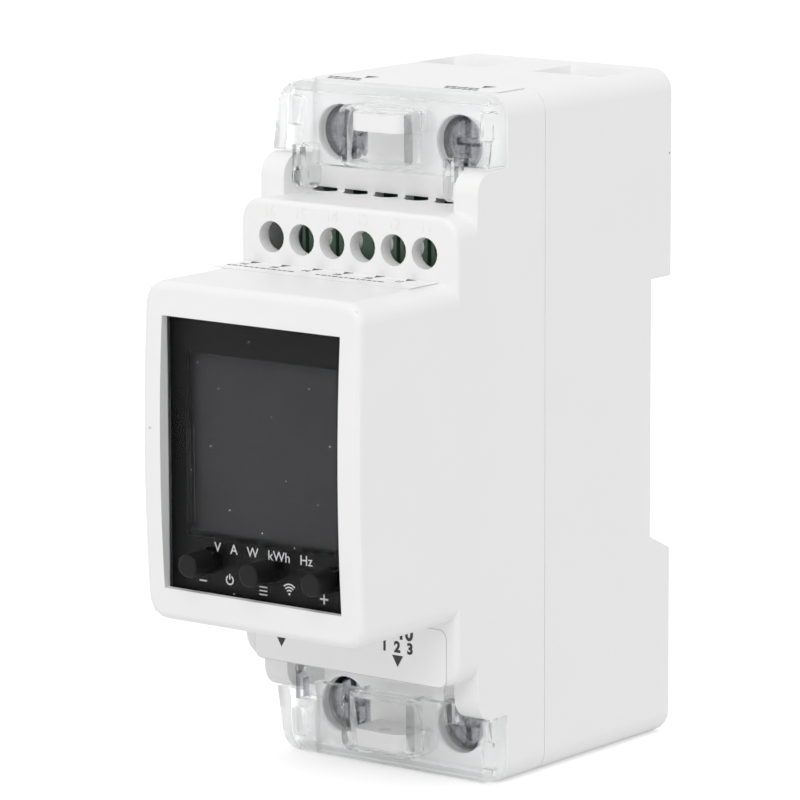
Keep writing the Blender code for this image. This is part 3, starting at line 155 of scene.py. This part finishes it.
MM = 0.001
TABLE_SIZE = 6
TABLE_GAP = 0.02 * MM
TABLE_COLOUR = (0.83, 0.83, 0.83)
TABLE_GLOW = 0.45
table_mesh = bmesh.new()
bmesh.ops.create_grid(table_mesh, x_segments=4, y_segments=4, size=TABLE_SIZE / 2)
bmesh.ops.translate(table_mesh, verts=table_mesh.verts, vec=(0, 0, cad_box[0].z - TABLE_GAP))
table_data = bpy.data.meshes.new("table_top")
table_mesh.to_mesh(table_data)
table_mesh.free()
table_top = bpy.data.objects.new("table_top", table_data)
bpy.context.scene.collection.objects.link(table_top)
table_paint = new_finish("table_paint", TABLE_COLOUR, 0.9, Specular_IOR_Level=0, Emission_Color=WHITE)
paint_tree = table_paint.node_tree
glow = paint_tree.nodes.new("ShaderNodeMath")
glow.operation = "MULTIPLY"
glow.inputs[1].default_value = TABLE_GLOW
paint_tree.links.new(sees_background(paint_tree), glow.inputs[0])
paint_tree.links.new(glow.outputs[0], paint_tree.nodes["Principled BSDF"].inputs["Emission Strength"])
table_data.materials.append(table_paint)


# Rear shell: the white rear half of the case, moulded in a flame-retardant plastic with a
# fine sparked grain and softly rounded edges. It holds the rail and the wire entries.
solids = frame["nodes"]
back_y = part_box("rear_shell")[1].y


def at(x, depth, height):
    """A place in the frame, from millimetres: to the right, forward of the back, and up."""
    return Vector((x * MM, back_y - depth * MM, height * MM))


def pattern(finish, feature, stretch=(1, 1, 1), detail=3.0, kind="ShaderNodeTexNoise"):
    """A pattern with features of that many millimetres, laid over the piece in its own place."""
    tree = finish.node_tree
    place = tree.nodes.new("ShaderNodeTexCoord")
    mapping = tree.nodes.new("ShaderNodeMapping")
    mapping.inputs["Scale"].default_value = stretch
    texture = tree.nodes.new(kind)
    texture.inputs["Scale"].default_value = 1 / (feature * MM)
    if "Detail" in texture.inputs:
        texture.inputs["Detail"].default_value = detail
    tree.links.new(place.outputs["Object"], mapping.inputs["Vector"])
    tree.links.new(mapping.outputs["Vector"], texture.inputs["Vector"])
    return texture.outputs[0]


def shaded(finish, factor, low, high, start=0.35, end=0.65, socket="Base Color"):
    """The factor runs a socket from low to high between start and end."""
    tree = finish.node_tree
    ramp = tree.nodes.new("ShaderNodeValToRGB")
    for element, position, value in zip(ramp.color_ramp.elements, (start, end), (low, high)):
        element.position = position
        element.color = (*value, 1) if isinstance(value, tuple) else (value, value, value, 1)
    tree.links.new(factor, ramp.inputs["Fac"])
    tree.links.new(ramp.outputs["Color"], tree.nodes["Principled BSDF"].inputs[socket])


def grained(finish, factor, depth):
    """The factor raises the surface by up to depth millimetres, as fine relief."""
    tree = finish.node_tree
    relief = tree.nodes.new("ShaderNodeBump")
    relief.inputs["Distance"].default_value = depth * MM
    relief.inputs["Strength"].default_value = 1
    tree.links.new(factor, relief.inputs["Height"])
    tree.links.new(relief.outputs["Normal"], tree.nodes["Principled BSDF"].inputs["Normal"])


def toned(colour, tone):
    """The colour at a part of its brightness."""
    return tuple(channel * tone for channel in colour)


def moulded(name, colour, roughness, grain=0.35, depth=0.006, tone=0.96, **sockets):
    """A moulded plastic: a slight drift of tone over the piece and a fine even grain."""
    drift = 14
    finish = new_finish(name, colour, roughness, **sockets)
    shaded(finish, pattern(finish, drift, detail=2), toned(colour, tone), colour, 0.3, 0.7)
    grained(finish, pattern(finish, grain, detail=2), depth)
    return finish


def marked(finish, marks):
    """Small dark specks and rubbed places: each is a point, a radius in millimetres and a tone."""
    raggedness = 0.5
    fades_from = 1.1
    gone_at = 1.5
    tree = finish.node_tree
    base = tree.nodes["Principled BSDF"].inputs["Base Color"]
    place = tree.nodes.new("ShaderNodeTexCoord")
    ragged = pattern(finish, raggedness, detail=4)
    for point, radius, tone in marks:
        away = tree.nodes.new("ShaderNodeVectorMath")
        away.operation = "DISTANCE"
        away.inputs[1].default_value = point
        tree.links.new(place.outputs["Object"], away.inputs[0])
        torn = tree.nodes.new("ShaderNodeMath")
        torn.operation = "MULTIPLY_ADD"
        torn.inputs[1].default_value = radius * MM
        tree.links.new(ragged, torn.inputs[0])
        tree.links.new(away.outputs["Value"], torn.inputs[2])
        inside = tree.nodes.new("ShaderNodeMapRange")
        inside.inputs["From Min"].default_value = radius * MM * gone_at
        inside.inputs["From Max"].default_value = radius * MM * fades_from
        tree.links.new(torn.outputs[0], inside.inputs["Value"])
        mix = tree.nodes.new("ShaderNodeMix")
        mix.data_type = "RGBA"
        mix.inputs["B"].default_value = (tone, tone, tone, 1)
        tree.links.new(inside.outputs["Result"], mix.inputs["Factor"])
        tree.links.new(base.links[0].from_socket, mix.inputs["A"])
        tree.links.new(mix.outputs["Result"], base)


def new_piece(name, mesh, finish, body):
    """A finished mesh as an object that rides on its body."""
    bmesh.ops.recalc_face_normals(mesh, faces=mesh.faces)
    data = bpy.data.meshes.new(name)
    mesh.to_mesh(data)
    mesh.free()
    data.materials.append(finish)
    made = bpy.data.objects.new(name, data)
    bpy.context.scene.collection.objects.link(made)
    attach(made, body)
    return made


MERGE_WITHIN = 0.001 * MM
SAME_PLANE = math.radians(0.6)


def stand_in(node, finish, join_facets=True):
    """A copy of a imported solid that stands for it, merged, each flat side made one face."""
    mesh = bmesh.new()
    mesh.from_mesh(solids[node].data)
    bmesh.ops.remove_doubles(mesh, verts=mesh.verts, dist=MERGE_WITHIN)
    if join_facets:
        bmesh.ops.dissolve_limit(mesh, angle_limit=SAME_PLANE, verts=mesh.verts, edges=mesh.edges)
    made = new_piece(f"{node}_finished", mesh, finish, solids[node]["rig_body"])
    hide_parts(node)
    return made


def finished(node, finish, round_over, segments=2):
    """The stand-in with its sharp edges rounded by that many millimetres and shaded smoothly."""
    sharp = math.radians(32)
    flat_face_weight = 90
    made = stand_in(node, finish)
    made.data.shade_smooth()
    edges = made.modifiers.new("rounded_edges", "BEVEL")
    edges.width = round_over * MM
    edges.segments = segments
    edges.limit_method = "ANGLE"
    edges.angle_limit = sharp
    edges.use_clamp_overlap = True
    level = made.modifiers.new("level_faces", "WEIGHTED_NORMAL")
    level.weight = flat_face_weight
    return made


# The housing's own specks and rubbed places: two on its right side, two on the left edge
# of its front and two on the terminal wall.
HOUSING_MARKS = (
    (at(18.0, 5.0, 90.7), 0.22, 0.30),
    (at(18.0, 0.9, 80.6), 0.20, 0.35),
    (at(-16.4, 69.4, 49.1), 0.30, 0.62),
    (at(-16.1, 69.4, 47.5), 0.24, 0.66),
    (at(3.8, 37.0, 86.5), 0.13, 0.20),
    (at(-14.0, 37.0, 88.6), 0.10, 0.22),
)
housing = moulded("housing_white", (0.93, 0.93, 0.928), 0.42, tone=0.985)
marked(housing, HOUSING_MARKS)
rear = finished("rear_shell", housing, 0.3)


# Power board and its parts: a green glass-fibre board behind the parting line, with the
# supply transformer, capacitors, latching relay and shunt soldered to its rear face.
laminate = new_finish("green_laminate", (0.012, 0.11, 0.045), 0.38)
shaded(laminate, pattern(laminate, 2.4, (1, 1, 0.3), kind="ShaderNodeTexVoronoi"),
       (0.008, 0.075, 0.03), (0.02, 0.16, 0.07), 0.2, 0.5)
grained(laminate, pattern(laminate, 0.4), 0.01)
relay_case = moulded("relay_black", (0.03, 0.03, 0.032), 0.4, tone=0.8)
film_case = moulded("film_yellow", (0.72, 0.52, 0.06), 0.35, tone=0.85)
sleeve = moulded("sleeve_blue_black", (0.03, 0.035, 0.06), 0.3, tone=0.8)
winding_tape = moulded("winding_tape", (0.66, 0.55, 0.16), 0.45, grain=1.2, depth=0.03, tone=0.85)


def metal(name, colour, roughness, stretch=(1, 1, 1), tone=0.75):
    """Bare or plated metal: slightly patchy, with the fine marks of the tool along it."""
    patches = 1.6
    rubs = 0.9
    tool_marks = 0.2
    finish = new_finish(name, colour, roughness, Metallic=1.0)
    shaded(finish, pattern(finish, patches), toned(colour, tone), colour)
    shaded(finish, pattern(finish, rubs), roughness * 0.8, roughness * 1.25, socket="Roughness")
    grained(finish, pattern(finish, tool_marks, stretch), 0.004)
    return finish


def coated(finishes):
    """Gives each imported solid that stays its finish."""
    for node, finish in finishes.items():
        solids[node].data.materials.clear()
        solids[node].data.materials.append(finish)


tinned_copper = metal("tinned_copper", (0.74, 0.55, 0.42), 0.3, stretch=(0.1, 1, 1))
coated({
    "power_board": laminate, "latching_relay": relay_case, "film_capacitor": film_case,
    "bulk_capacitor": sleeve, "supply_transformer": winding_tape, "shunt": tinned_copper,
})


# Mains terminals: a black insert at each end guides two zinc-plated steel cages, which a
# big screw with a slot and a cross draws forward on to a tinned copper bar.
ENDS = ("upper", "lower")
insert_black = moulded("insert_black", (0.035, 0.036, 0.038), 0.5, tone=0.8)
zinc = metal("zinc_plate", (0.34, 0.35, 0.375), 0.25, tone=0.88)
for end in ENDS:
    insert = finished(f"{end}_terminal_carrier", insert_black, 0.12)
    for pole in ("left", "right"):
        cage = finished(f"{end}_{pole}_cage", zinc, 0.2)
        screw = finished(f"{end}_{pole}_screw", zinc, 0.22, segments=3)
        bar = finished(f"{end}_{pole}_busbar", tinned_copper, 0.15)


# Control board with its radio module and pin headers, and the green block of small screw
# terminals behind the row of six holes. Its five screws are turned steel with one slot.
SMALL_SCREWS = 5
terminal_green = moulded("terminal_green", (0.14, 0.235, 0.175), 0.4, tone=0.8)
small_steel = metal("small_screw_steel", (0.92, 0.93, 0.94), 0.3, tone=0.92)
shield_tin = metal("radio_module_tin", (0.6, 0.61, 0.6), 0.35)
header_black = moulded("header_black", (0.02, 0.02, 0.02), 0.45, tone=0.8)
coated({
    "control_board": laminate, "radio_module": shield_tin,
    "display_header": header_black, "power_header": header_black,
})
terminal_block = finished("comms_terminal_block", terminal_green, 0.1)
for number in range(1, SMALL_SCREWS + 1):
    small_screw = finished(f"comms_screw_{number}", small_steel, 0.1)


# Display unit: the board inside the nose carries three square switches, two light chips
# with clear rods, and the backlight with the display glass on it.
BUTTONS = ("left", "middle", "right")
LIGHTS = ("left", "right")
switch_black = moulded("switch_black", (0.025, 0.025, 0.027), 0.5, tone=0.8)
chip_white = moulded("chip_white", (0.8, 0.8, 0.76), 0.4, tone=0.9)
diffuser = moulded("diffuser_white", (0.82, 0.84, 0.85), 0.5, tone=0.95)
rod_clear = new_finish("rod_clear", (0.9, 0.9, 0.9), 0.08, Transmission_Weight=1.0, IOR=1.49)
grained(rod_clear, pattern(rod_clear, 0.6), 0.003)
display_glass = new_finish("display_glass", (0.06, 0.06, 0.062), 0.3, Specular_IOR_Level=0.15)
shaded(display_glass, pattern(display_glass, 9, detail=1), (0.058, 0.058, 0.060), (0.063, 0.063, 0.066))
coated({"display_board": laminate, "backlight": diffuser})
coated({f"{place}_switch": switch_black for place in BUTTONS})
coated({f"{place}_led": chip_white for place in LIGHTS})
coated({f"{place}_light_pipe": rod_clear for place in LIGHTS})
panel = finished("lcd_panel", display_glass, 0.1)


# Smoked pane: a flat acrylic window that sits in the bezel, polished on both sides, with
# round holes for the buttons. It darkens the display unit behind it.
smoked = new_finish("smoked_acrylic", (0.60, 0.60, 0.62), 0.03, Transmission_Weight=1.0,
                    IOR=1.22, Alpha=0.5)
shaded(smoked, pattern(smoked, 12, detail=1), (0.58, 0.58, 0.60), (0.62, 0.62, 0.64))
pane = stand_in("window_lens", smoked)
pane.data.shade_flat()


# Black print: a coat of ink on the back of the pane. It frames the display and stays clear
# of the three button holes.
INK_SIDES = (-15.6, 15.6)
INK_HEIGHTS = (27.05, 64.95)
VIEW_SIDES = (-12.65, 12.2)
VIEW_HEIGHTS = (34.9, 59.2)
BUTTON_HOLE = 3.8
INK_BEHIND_PANE = 0.06
INK_COAT = 0.04
INK_DEPTH = (back_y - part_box("window_lens")[1].y) / MM - INK_BEHIND_PANE


def outline_edges(mesh, points):
    """A closed line through the points."""
    corners = [mesh.verts.new(point) for point in points]
    return [mesh.edges.new((a, b)) for a, b in zip(corners, corners[1:] + corners[:1])]


def ring_points(x, height, diameter, depth, sides=24):
    """A circle that faces the front."""
    turns = [math.tau * step / sides for step in range(sides)]
    return [at(x + diameter / 2 * math.cos(turn), depth, height + diameter / 2 * math.sin(turn))
            for turn in turns]


def box_points(x0, x1, height0, height1, depth):
    """A rectangle that faces the front."""
    return [at(x0, depth, height0), at(x1, depth, height0), at(x1, depth, height1), at(x0, depth, height1)]


def middle_of(node):
    """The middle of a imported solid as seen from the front, in millimetres."""
    low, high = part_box(node)
    return (low.x + high.x) / 2 / MM, (low.z + high.z) / 2 / MM


def forward(distance):
    """A shift towards the front, by millimetres."""
    return Vector((0, -distance * MM, 0))


def upward(distance):
    """A shift upwards, by millimetres."""
    return Vector((0, 0, distance * MM))


def thickened(mesh, shift):
    """Gives a flat outline its thickness, along the shift."""
    grown = bmesh.ops.extrude_face_region(mesh, geom=mesh.faces[:])
    moved = [part for part in grown["geom"] if isinstance(part, bmesh.types.BMVert)]
    bmesh.ops.translate(mesh, verts=moved, vec=shift)


black_ink = moulded("black_ink", (0.0105, 0.0105, 0.011), 0.6, grain=0.15, depth=0.002, tone=0.8,
                    Specular_IOR_Level=0.1)
ink_outlines = [
    box_points(*INK_SIDES, *INK_HEIGHTS, INK_DEPTH),
    box_points(*VIEW_SIDES, *VIEW_HEIGHTS, INK_DEPTH),
]
for place in BUTTONS:
    ink_outlines.append(ring_points(*middle_of(f"{place}_button"), BUTTON_HOLE, INK_DEPTH))
ink_mesh = bmesh.new()
ink_edges = [edge for points in ink_outlines for edge in outline_edges(ink_mesh, points)]
bmesh.ops.triangle_fill(ink_mesh, use_beauty=True, use_dissolve=False, edges=ink_edges)
thickened(ink_mesh, forward(INK_COAT))
ink = new_piece("pane_black_print", ink_mesh, black_ink, "case")


# White signs: plain units under the display and a sign beside each button and light, in
# thin white ink on the face of the pane.
PRINT = 0.02
PRINT_DEPTH = (back_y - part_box("window_lens")[0].y) / MM + 0.015
FACING_FRONT = Matrix.Rotation(math.radians(90), 4, "X")
white_ink = moulded("white_ink", (0.72, 0.72, 0.74), 0.5, grain=0.12, depth=0.002, tone=0.93)


def lettering(name, words, size, place, turn, finish, thickness, weight=0.0):
    """Plain letters or numbers as a thin raised mesh, centred on their place."""
    curve = bpy.data.curves.new(name, "FONT")
    curve.body = words
    curve.size = size * MM
    curve.align_x = "CENTER"
    curve.align_y = "CENTER"
    curve.extrude = thickness * MM / 2
    curve.offset = weight * MM
    typed = bpy.data.objects.new(name, curve)
    bpy.context.scene.collection.objects.link(typed)
    bpy.context.view_layer.update()
    data = bpy.data.meshes.new_from_object(typed.evaluated_get(bpy.context.evaluated_depsgraph_get()))
    bpy.data.objects.remove(typed)
    bpy.data.curves.remove(curve)
    mesh = bmesh.new()
    mesh.from_mesh(data)
    bpy.data.meshes.remove(data)
    bmesh.ops.remove_doubles(mesh, verts=mesh.verts, dist=MERGE_WITHIN)
    bmesh.ops.transform(mesh, verts=mesh.verts, matrix=Matrix.Translation(place) @ turn)
    return new_piece(name, mesh, finish, "case")


def printed(name, outlines, shift, finish):
    """Flat printed shapes: each is a list of points, and all get the thickness of the ink."""
    mesh = bmesh.new()
    for points in outlines:
        mesh.faces.new([mesh.verts.new(point) for point in points])
    thickened(mesh, shift)
    made = new_piece(name, mesh, finish, "case")


def arc_outline(x, height, inner, outer, start, end, steps=10):
    """A piece of a ring as one outline: out along its outer edge and back along its inner one."""
    turns = [math.radians(start + (end - start) * step / steps) for step in range(steps + 1)]
    edges = []
    for radius, way in ((outer, turns), (inner, turns[::-1])):
        edges += [at(x + radius * math.cos(turn), PRINT_DEPTH, height + radius * math.sin(turn))
                  for turn in way]
    return edges


for name, words, size, x, height in (
    ("pane_units_print", "V   A   W   kWh   Hz", 1.85, 1.0, 34.1),
    ("pane_minus_print", "−", 2.6, -9.1, 29.3),
    ("pane_plus_print", "+", 2.8, 11.0, 29.35),
):
    sign = lettering(name, words, size, at(x, PRINT_DEPTH, height), FACING_FRONT, white_ink, PRINT)

# The signs that are drawn: three bars for the menu, an open ring with a stroke for power,
# and a dot with three arcs for the radio link.
MENU_SIDES = (0.35, 1.65)
MENU_BARS = (28.75, 29.25, 29.75)
MENU_BAR = 0.17
printed("pane_menu_print", [
    box_points(*MENU_SIDES, foot, foot + MENU_BAR, PRINT_DEPTH) for foot in MENU_BARS
], forward(PRINT), white_ink)
POWER_X = -4.6
POWER_HEIGHT = 30.05
POWER_STROKE = 0.18
printed("pane_power_print", [
    arc_outline(POWER_X, POWER_HEIGHT, 0.48, 0.48 + POWER_STROKE, 120, 420, 20),
    box_points(POWER_X - POWER_STROKE / 2, POWER_X + POWER_STROKE / 2,
               POWER_HEIGHT + 0.05, POWER_HEIGHT + 0.8, PRINT_DEPTH),
], forward(PRINT), white_ink)
LINK_X = 5.3
LINK_HEIGHT = 29.45
LINK_STROKE = 0.16
LINK_ARCS = (0.42, 0.82, 1.22)
printed("pane_link_print", [ring_points(LINK_X, LINK_HEIGHT, 0.3, PRINT_DEPTH, 12)] + [
    arc_outline(LINK_X, LINK_HEIGHT, radius, radius + LINK_STROKE, 45, 135) for radius in LINK_ARCS
], forward(PRINT), white_ink)


# Dark trim behind the pane: a round window at the end of each light rod, and the black side of the display
# glass, with a thin pale line painted on it as the glint of its cut edge.
edge_black = moulded("display_edge_black", (0.034, 0.034, 0.035), 0.5, grain=0.4, tone=0.8,
                     Specular_IOR_Level=0.1)
# A painted highlight: the pale line stands for light caught in the glass's cut edge.
painted_edge_glint = moulded("display_edge_painted_glint", (0.42, 0.42, 0.43), 0.3, grain=0.4, tone=0.8)
LIGHT_WINDOW = 1.7
WINDOW_DEPTH = INK_DEPTH + 0.05
WINDOW_COAT = 0.01
EDGE_COAT = 0.03
EDGE_STRIP = (-13.85, -12.2, 35.3, 59.5)
EDGE_GLINT = (-13.5, -13.36, 36.2, 48.7)
PANEL_FACE = (back_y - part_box("lcd_panel")[0].y) / MM
light_windows = []
for place in LIGHTS:
    light_windows.append(ring_points(*middle_of(f"{place}_light_pipe"), LIGHT_WINDOW, WINDOW_DEPTH))
printed("light_windows", light_windows, forward(WINDOW_COAT), edge_black)
printed("display_side_strip", [box_points(*EDGE_STRIP, PANEL_FACE)], forward(EDGE_COAT), edge_black)
printed("display_edge_glint", [box_points(*EDGE_GLINT, PANEL_FACE + 0.02)], forward(EDGE_COAT), painted_edge_glint)


# Dust and a glint: a few pale specks that lie on the pane, and two more at the top edge of the middle
# button's hole that are a painted highlight. Each has its place across, its height and its radius.
DUST_AND_GLINT = (
    (-6.2, 55.1, 0.07), (-4.5, 39.3, 0.10), (0.9, 36.9, 0.11), (4.9, 44.2, 0.07), (6.2, 35.6, 0.10),
    (-7.6, 47.4, 0.08), (2.6, 52.3, 0.07), (-3.9, 28.3, 0.09), (9.0, 30.4, 0.08), (10.1, 41.7, 0.07),
    (-9.7, 58.2, 0.07), (-1.1, 61.7, 0.07), (8.8, 56.6, 0.07), (-10.9, 43.9, 0.09), (12.1, 49.5, 0.10),
    # The last two specks are a painted highlight on the top edge of the middle button's hole.
    (1.35, 33.2, 0.09), (1.7, 32.95, 0.13),
)
printed("pane_dust_and_glint", [
    ring_points(x, height, 2 * radius, PRINT_DEPTH, 7) for x, height, radius in DUST_AND_GLINT
], forward(PRINT), white_ink)


# Buttons: three matt black posts, moulded with a soft edge, that stand out of the pane and
# press the switches behind it.
button_black = moulded("button_black", (0.010, 0.010, 0.011), 0.5, grain=0.2, depth=0.004, tone=0.85,
                       Specular_IOR_Level=0.2)
for place in BUTTONS:
    button = finished(f"{place}_button", button_black, 0.15, segments=3)


# Front shell: collar, cheeks, ledge and nose in one white moulding that closes the case. Low
# raised numbers, one over each of the six holes, are moulded on it.
LEDGE_FACE = 48.7
NUMBER_SIZE = 2.1
NUMBER_RAISED = 0.12
NUMBER_HEIGHT = 75.65
FIRST_NUMBER_X = -13.0
NUMBER_PITCH = 5.2
HOLE_NUMBERS = range(16, 10, -1)
front = finished("front_shell", housing, 0.22)
for step, number in enumerate(HOLE_NUMBERS):
    number_place = at(FIRST_NUMBER_X + NUMBER_PITCH * step, LEDGE_FACE + 0.02, NUMBER_HEIGHT)
    digit = lettering(f"pole_number_{step + 1}", str(number), NUMBER_SIZE, number_place, FACING_FRONT,
                      housing, NUMBER_RAISED)


# Output label: a white sticker with round corners on the lower ledge. A thin grey rim around it is painted
# shade along its cut edge, and it carries two arrows and plain numbers.
STICKER = 0.08
SUNK = 0.01
SHADE_RIM = 0.1
SHADE_RIM_STICKER = 0.3 * STICKER
# The labels' white is set brighter than the housing as painted light, lightening the nose top where the pole
# label lies; the output label shares it.
label_white_painted_light = moulded("label_white_painted_light", (0.96, 0.96, 0.96), 0.35, grain=0.2, depth=0.002, tone=0.99)
label_ink = moulded("label_ink", (0.02, 0.02, 0.02), 0.5, grain=0.2, depth=0.002, tone=0.8)
# The grey rim under each sticker's edge is painted shade: a dark line where the edge throws its shadow.
label_edge_painted_shade = moulded("label_edge_painted_shade", (0.62, 0.62, 0.62), 0.5, grain=0.3, depth=0.002, tone=0.97)


def label(name, places, shift, radius, finish):
    """A thin sticker: an outline with rounded corners, thickened outwards."""
    mesh = bmesh.new()
    mesh.faces.new([mesh.verts.new(place) for place in places])
    bmesh.ops.bevel(mesh, geom=mesh.verts[:], offset=radius * MM, offset_type="OFFSET", segments=6,
                    profile=0.5, affect="VERTICES", material=-1)
    thickened(mesh, shift)
    made = new_piece(name, mesh, finish, "case")


def lower_arrow(x, tip, size, depth):
    """A small arrow that points down, on the front of the ledge."""
    top = tip + 1.7 * size
    return [at(x - size, depth, top), at(x, depth, tip), at(x + size, depth, top)]


OUTPUT_X0, OUTPUT_X1 = -16.0, 16.1
OUTPUT_LOW, OUTPUT_HIGH = 14.9, 22.6
OUTPUT_CORNER = 1.2
OUTPUT_PRINT = LEDGE_FACE + STICKER
label("output_label", box_points(OUTPUT_X0, OUTPUT_X1, OUTPUT_LOW, OUTPUT_HIGH, LEDGE_FACE - SUNK),
      forward(STICKER), OUTPUT_CORNER, label_white_painted_light)
label("output_label_edge_painted_shade", box_points(OUTPUT_X0 - SHADE_RIM, OUTPUT_X1 + SHADE_RIM, OUTPUT_LOW - SHADE_RIM, OUTPUT_HIGH + SHADE_RIM,
                                     LEDGE_FACE - SUNK),
      forward(SHADE_RIM_STICKER), OUTPUT_CORNER + SHADE_RIM, label_edge_painted_shade)
printed("output_arrows", [
    lower_arrow(-11.45, 16.85, 0.72, OUTPUT_PRINT), lower_arrow(8.15, 16.75, 0.9, OUTPUT_PRINT),
], forward(PRINT), label_ink)
for name, words, size, x, height in (
    ("output_mark_a", "10", 2.6, 9.4, 21.35),
    ("output_mark_b", "1  2  3", 2.0, 8.1, 19.35),
):
    mark = lettering(name, words, size, at(x, OUTPUT_PRINT + 0.01, height), FACING_FRONT, label_ink,
                     PRINT, 0.09)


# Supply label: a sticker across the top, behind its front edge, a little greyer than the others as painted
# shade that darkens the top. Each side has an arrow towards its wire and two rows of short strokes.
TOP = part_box("front_shell")[1].z / MM
SUPPLY_PRINT = TOP - SUNK + STICKER
STROKES = (0.55, 0.9, 0.4, 0.75, 0.6)
STROKE_GAP = 0.3
# Its grey is painted shade: the top of the case is darkened through this sticker.
label_grey_painted_shade = moulded("label_grey_painted_shade", (0.92, 0.92, 0.92), 0.35, grain=0.2, depth=0.002, tone=0.99)


def upper_points(x0, x1, depth0, depth1, height):
    """A rectangle that faces up."""
    return [at(x0, depth1, height), at(x1, depth1, height), at(x1, depth0, height), at(x0, depth0, height)]


def upper_arrow(x, depth, height, width, reach):
    """A small arrow on an upper face, its broad end towards the back."""
    return [at(x - width / 2, depth, height), at(x, depth + reach, height), at(x + width / 2, depth, height)]


def stroke_row(x0, x1, depth, height, size):
    """A row of short printed strokes, of uneven lengths."""
    strokes = []
    x = x0
    while x < x1:
        wide = STROKES[len(strokes) % len(STROKES)]
        strokes.append(upper_points(x, x + wide, depth, depth + size, height))
        x += wide + STROKE_GAP
    return strokes


SUPPLY_HALF_WIDTH = 15.4
SUPPLY_BACK, SUPPLY_FRONT = 29.9, 36.9
SUPPLY_CORNER = 0.9
SUPPLY_ARROW = 1.9
SUPPLY_STROKE = 0.7
label("supply_label", upper_points(-SUPPLY_HALF_WIDTH, SUPPLY_HALF_WIDTH, SUPPLY_BACK, SUPPLY_FRONT,
                                   TOP - SUNK),
      upward(STICKER), SUPPLY_CORNER, label_grey_painted_shade)
for name, x in (("supply_left", -10.2), ("supply_right", 9.3)):
    outlines = [upper_arrow(x + 1.6, 31.9, SUPPLY_PRINT, SUPPLY_ARROW, SUPPLY_ARROW)]
    outlines += stroke_row(x - 3.4, x + 1.8, 34.6, SUPPLY_PRINT, SUPPLY_STROKE)
    outlines += stroke_row(x - 2.6, x + 2.4, 35.9, SUPPLY_PRINT, SUPPLY_STROKE)
    printed(f"{name}_print", outlines, upward(PRINT), label_ink)


# Pole label: a white sticker on top of the nose, against the ledge. It has an arrow and a
# number for each small terminal, and a row of strokes in front of each group.
FACING_UP = Matrix.Identity(4)
NOSE_HEIGHT = 45
NOSE_TOP = (TOP + NOSE_HEIGHT) / 2
POLE_PRINT = NOSE_TOP - SUNK + STICKER
POLE_X0, POLE_X1 = -17.3, 15.2
POLE_BACK, POLE_FRONT = 48.85, 55.3
POLE_CORNER = 0.5
POLE_ARROWS = (-14.9, -9.8, -4.5, 0.7, 5.9, 11.0)
POLE_GROUPS = ((-16.8, -6.2), (-1.9, 9.5))
ARROW_ROW, MARK_ROW, GROUP_ROW = 49.1, 51.3, 52.7
label("pole_label", upper_points(POLE_X0, POLE_X1, POLE_BACK, POLE_FRONT, NOSE_TOP - SUNK),
      upward(STICKER), POLE_CORNER, label_white_painted_light)
# Its grey rim is painted shade along the sticker's front and side edges.
label("pole_label_edge_painted_shade", upper_points(POLE_X0 - SHADE_RIM, POLE_X1 + SHADE_RIM, POLE_BACK, POLE_FRONT + SHADE_RIM,
                                     NOSE_TOP - SUNK),
      upward(SHADE_RIM_STICKER), POLE_CORNER + SHADE_RIM / 2, label_edge_painted_shade)
printed("pole_arrows", [upper_arrow(x, ARROW_ROW, POLE_PRINT, 1.5, 1.4) for x in POLE_ARROWS],
        upward(PRINT), label_ink)
for step, (number, x) in enumerate(zip(HOLE_NUMBERS, POLE_ARROWS)):
    mark = lettering(f"pole_mark_{step + 1}", str(number), 1.25, at(x - 0.4, MARK_ROW, POLE_PRINT + 0.01),
                     FACING_UP, label_ink, PRINT, 0.05)
group_strokes = []
for x0, x1 in POLE_GROUPS:
    group_strokes += stroke_row(x0, x1, GROUP_ROW, POLE_PRINT, 0.4)
printed("pole_groups", group_strokes, upward(PRINT), label_ink)


# Clear covers: polycarbonate, one at each end, hinged in the cheeks. Light gathers in
# their thick edges, pocket walls and bosses.
polycarbonate = new_finish("clear_polycarbonate", (0.985, 0.99, 0.995), 0.0, Transmission_Weight=1.0,
                           IOR=1.2, Alpha=0.75)
grained(polycarbonate, pattern(polycarbonate, 4.0, detail=1), 0.003)
for end in ENDS:
    clear_cover = finished(f"{end}_cover", polycarbonate, 0.25, segments=3)


# Rail clip: a grey sliding foot with a hook for the rail's lower edge, pressed up by a steel spring.
clip_grey = moulded("clip_grey", (0.3, 0.31, 0.32), 0.45, tone=0.9)
clip = finished("rail_clip", clip_grey, 0.2)
spring_steel = metal("spring_steel", (0.6, 0.6, 0.62), 0.25, tone=0.9)
coil = stand_in("clip_spring", spring_steel, join_facets=False)
coil.data.shade_smooth()
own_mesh(coil)
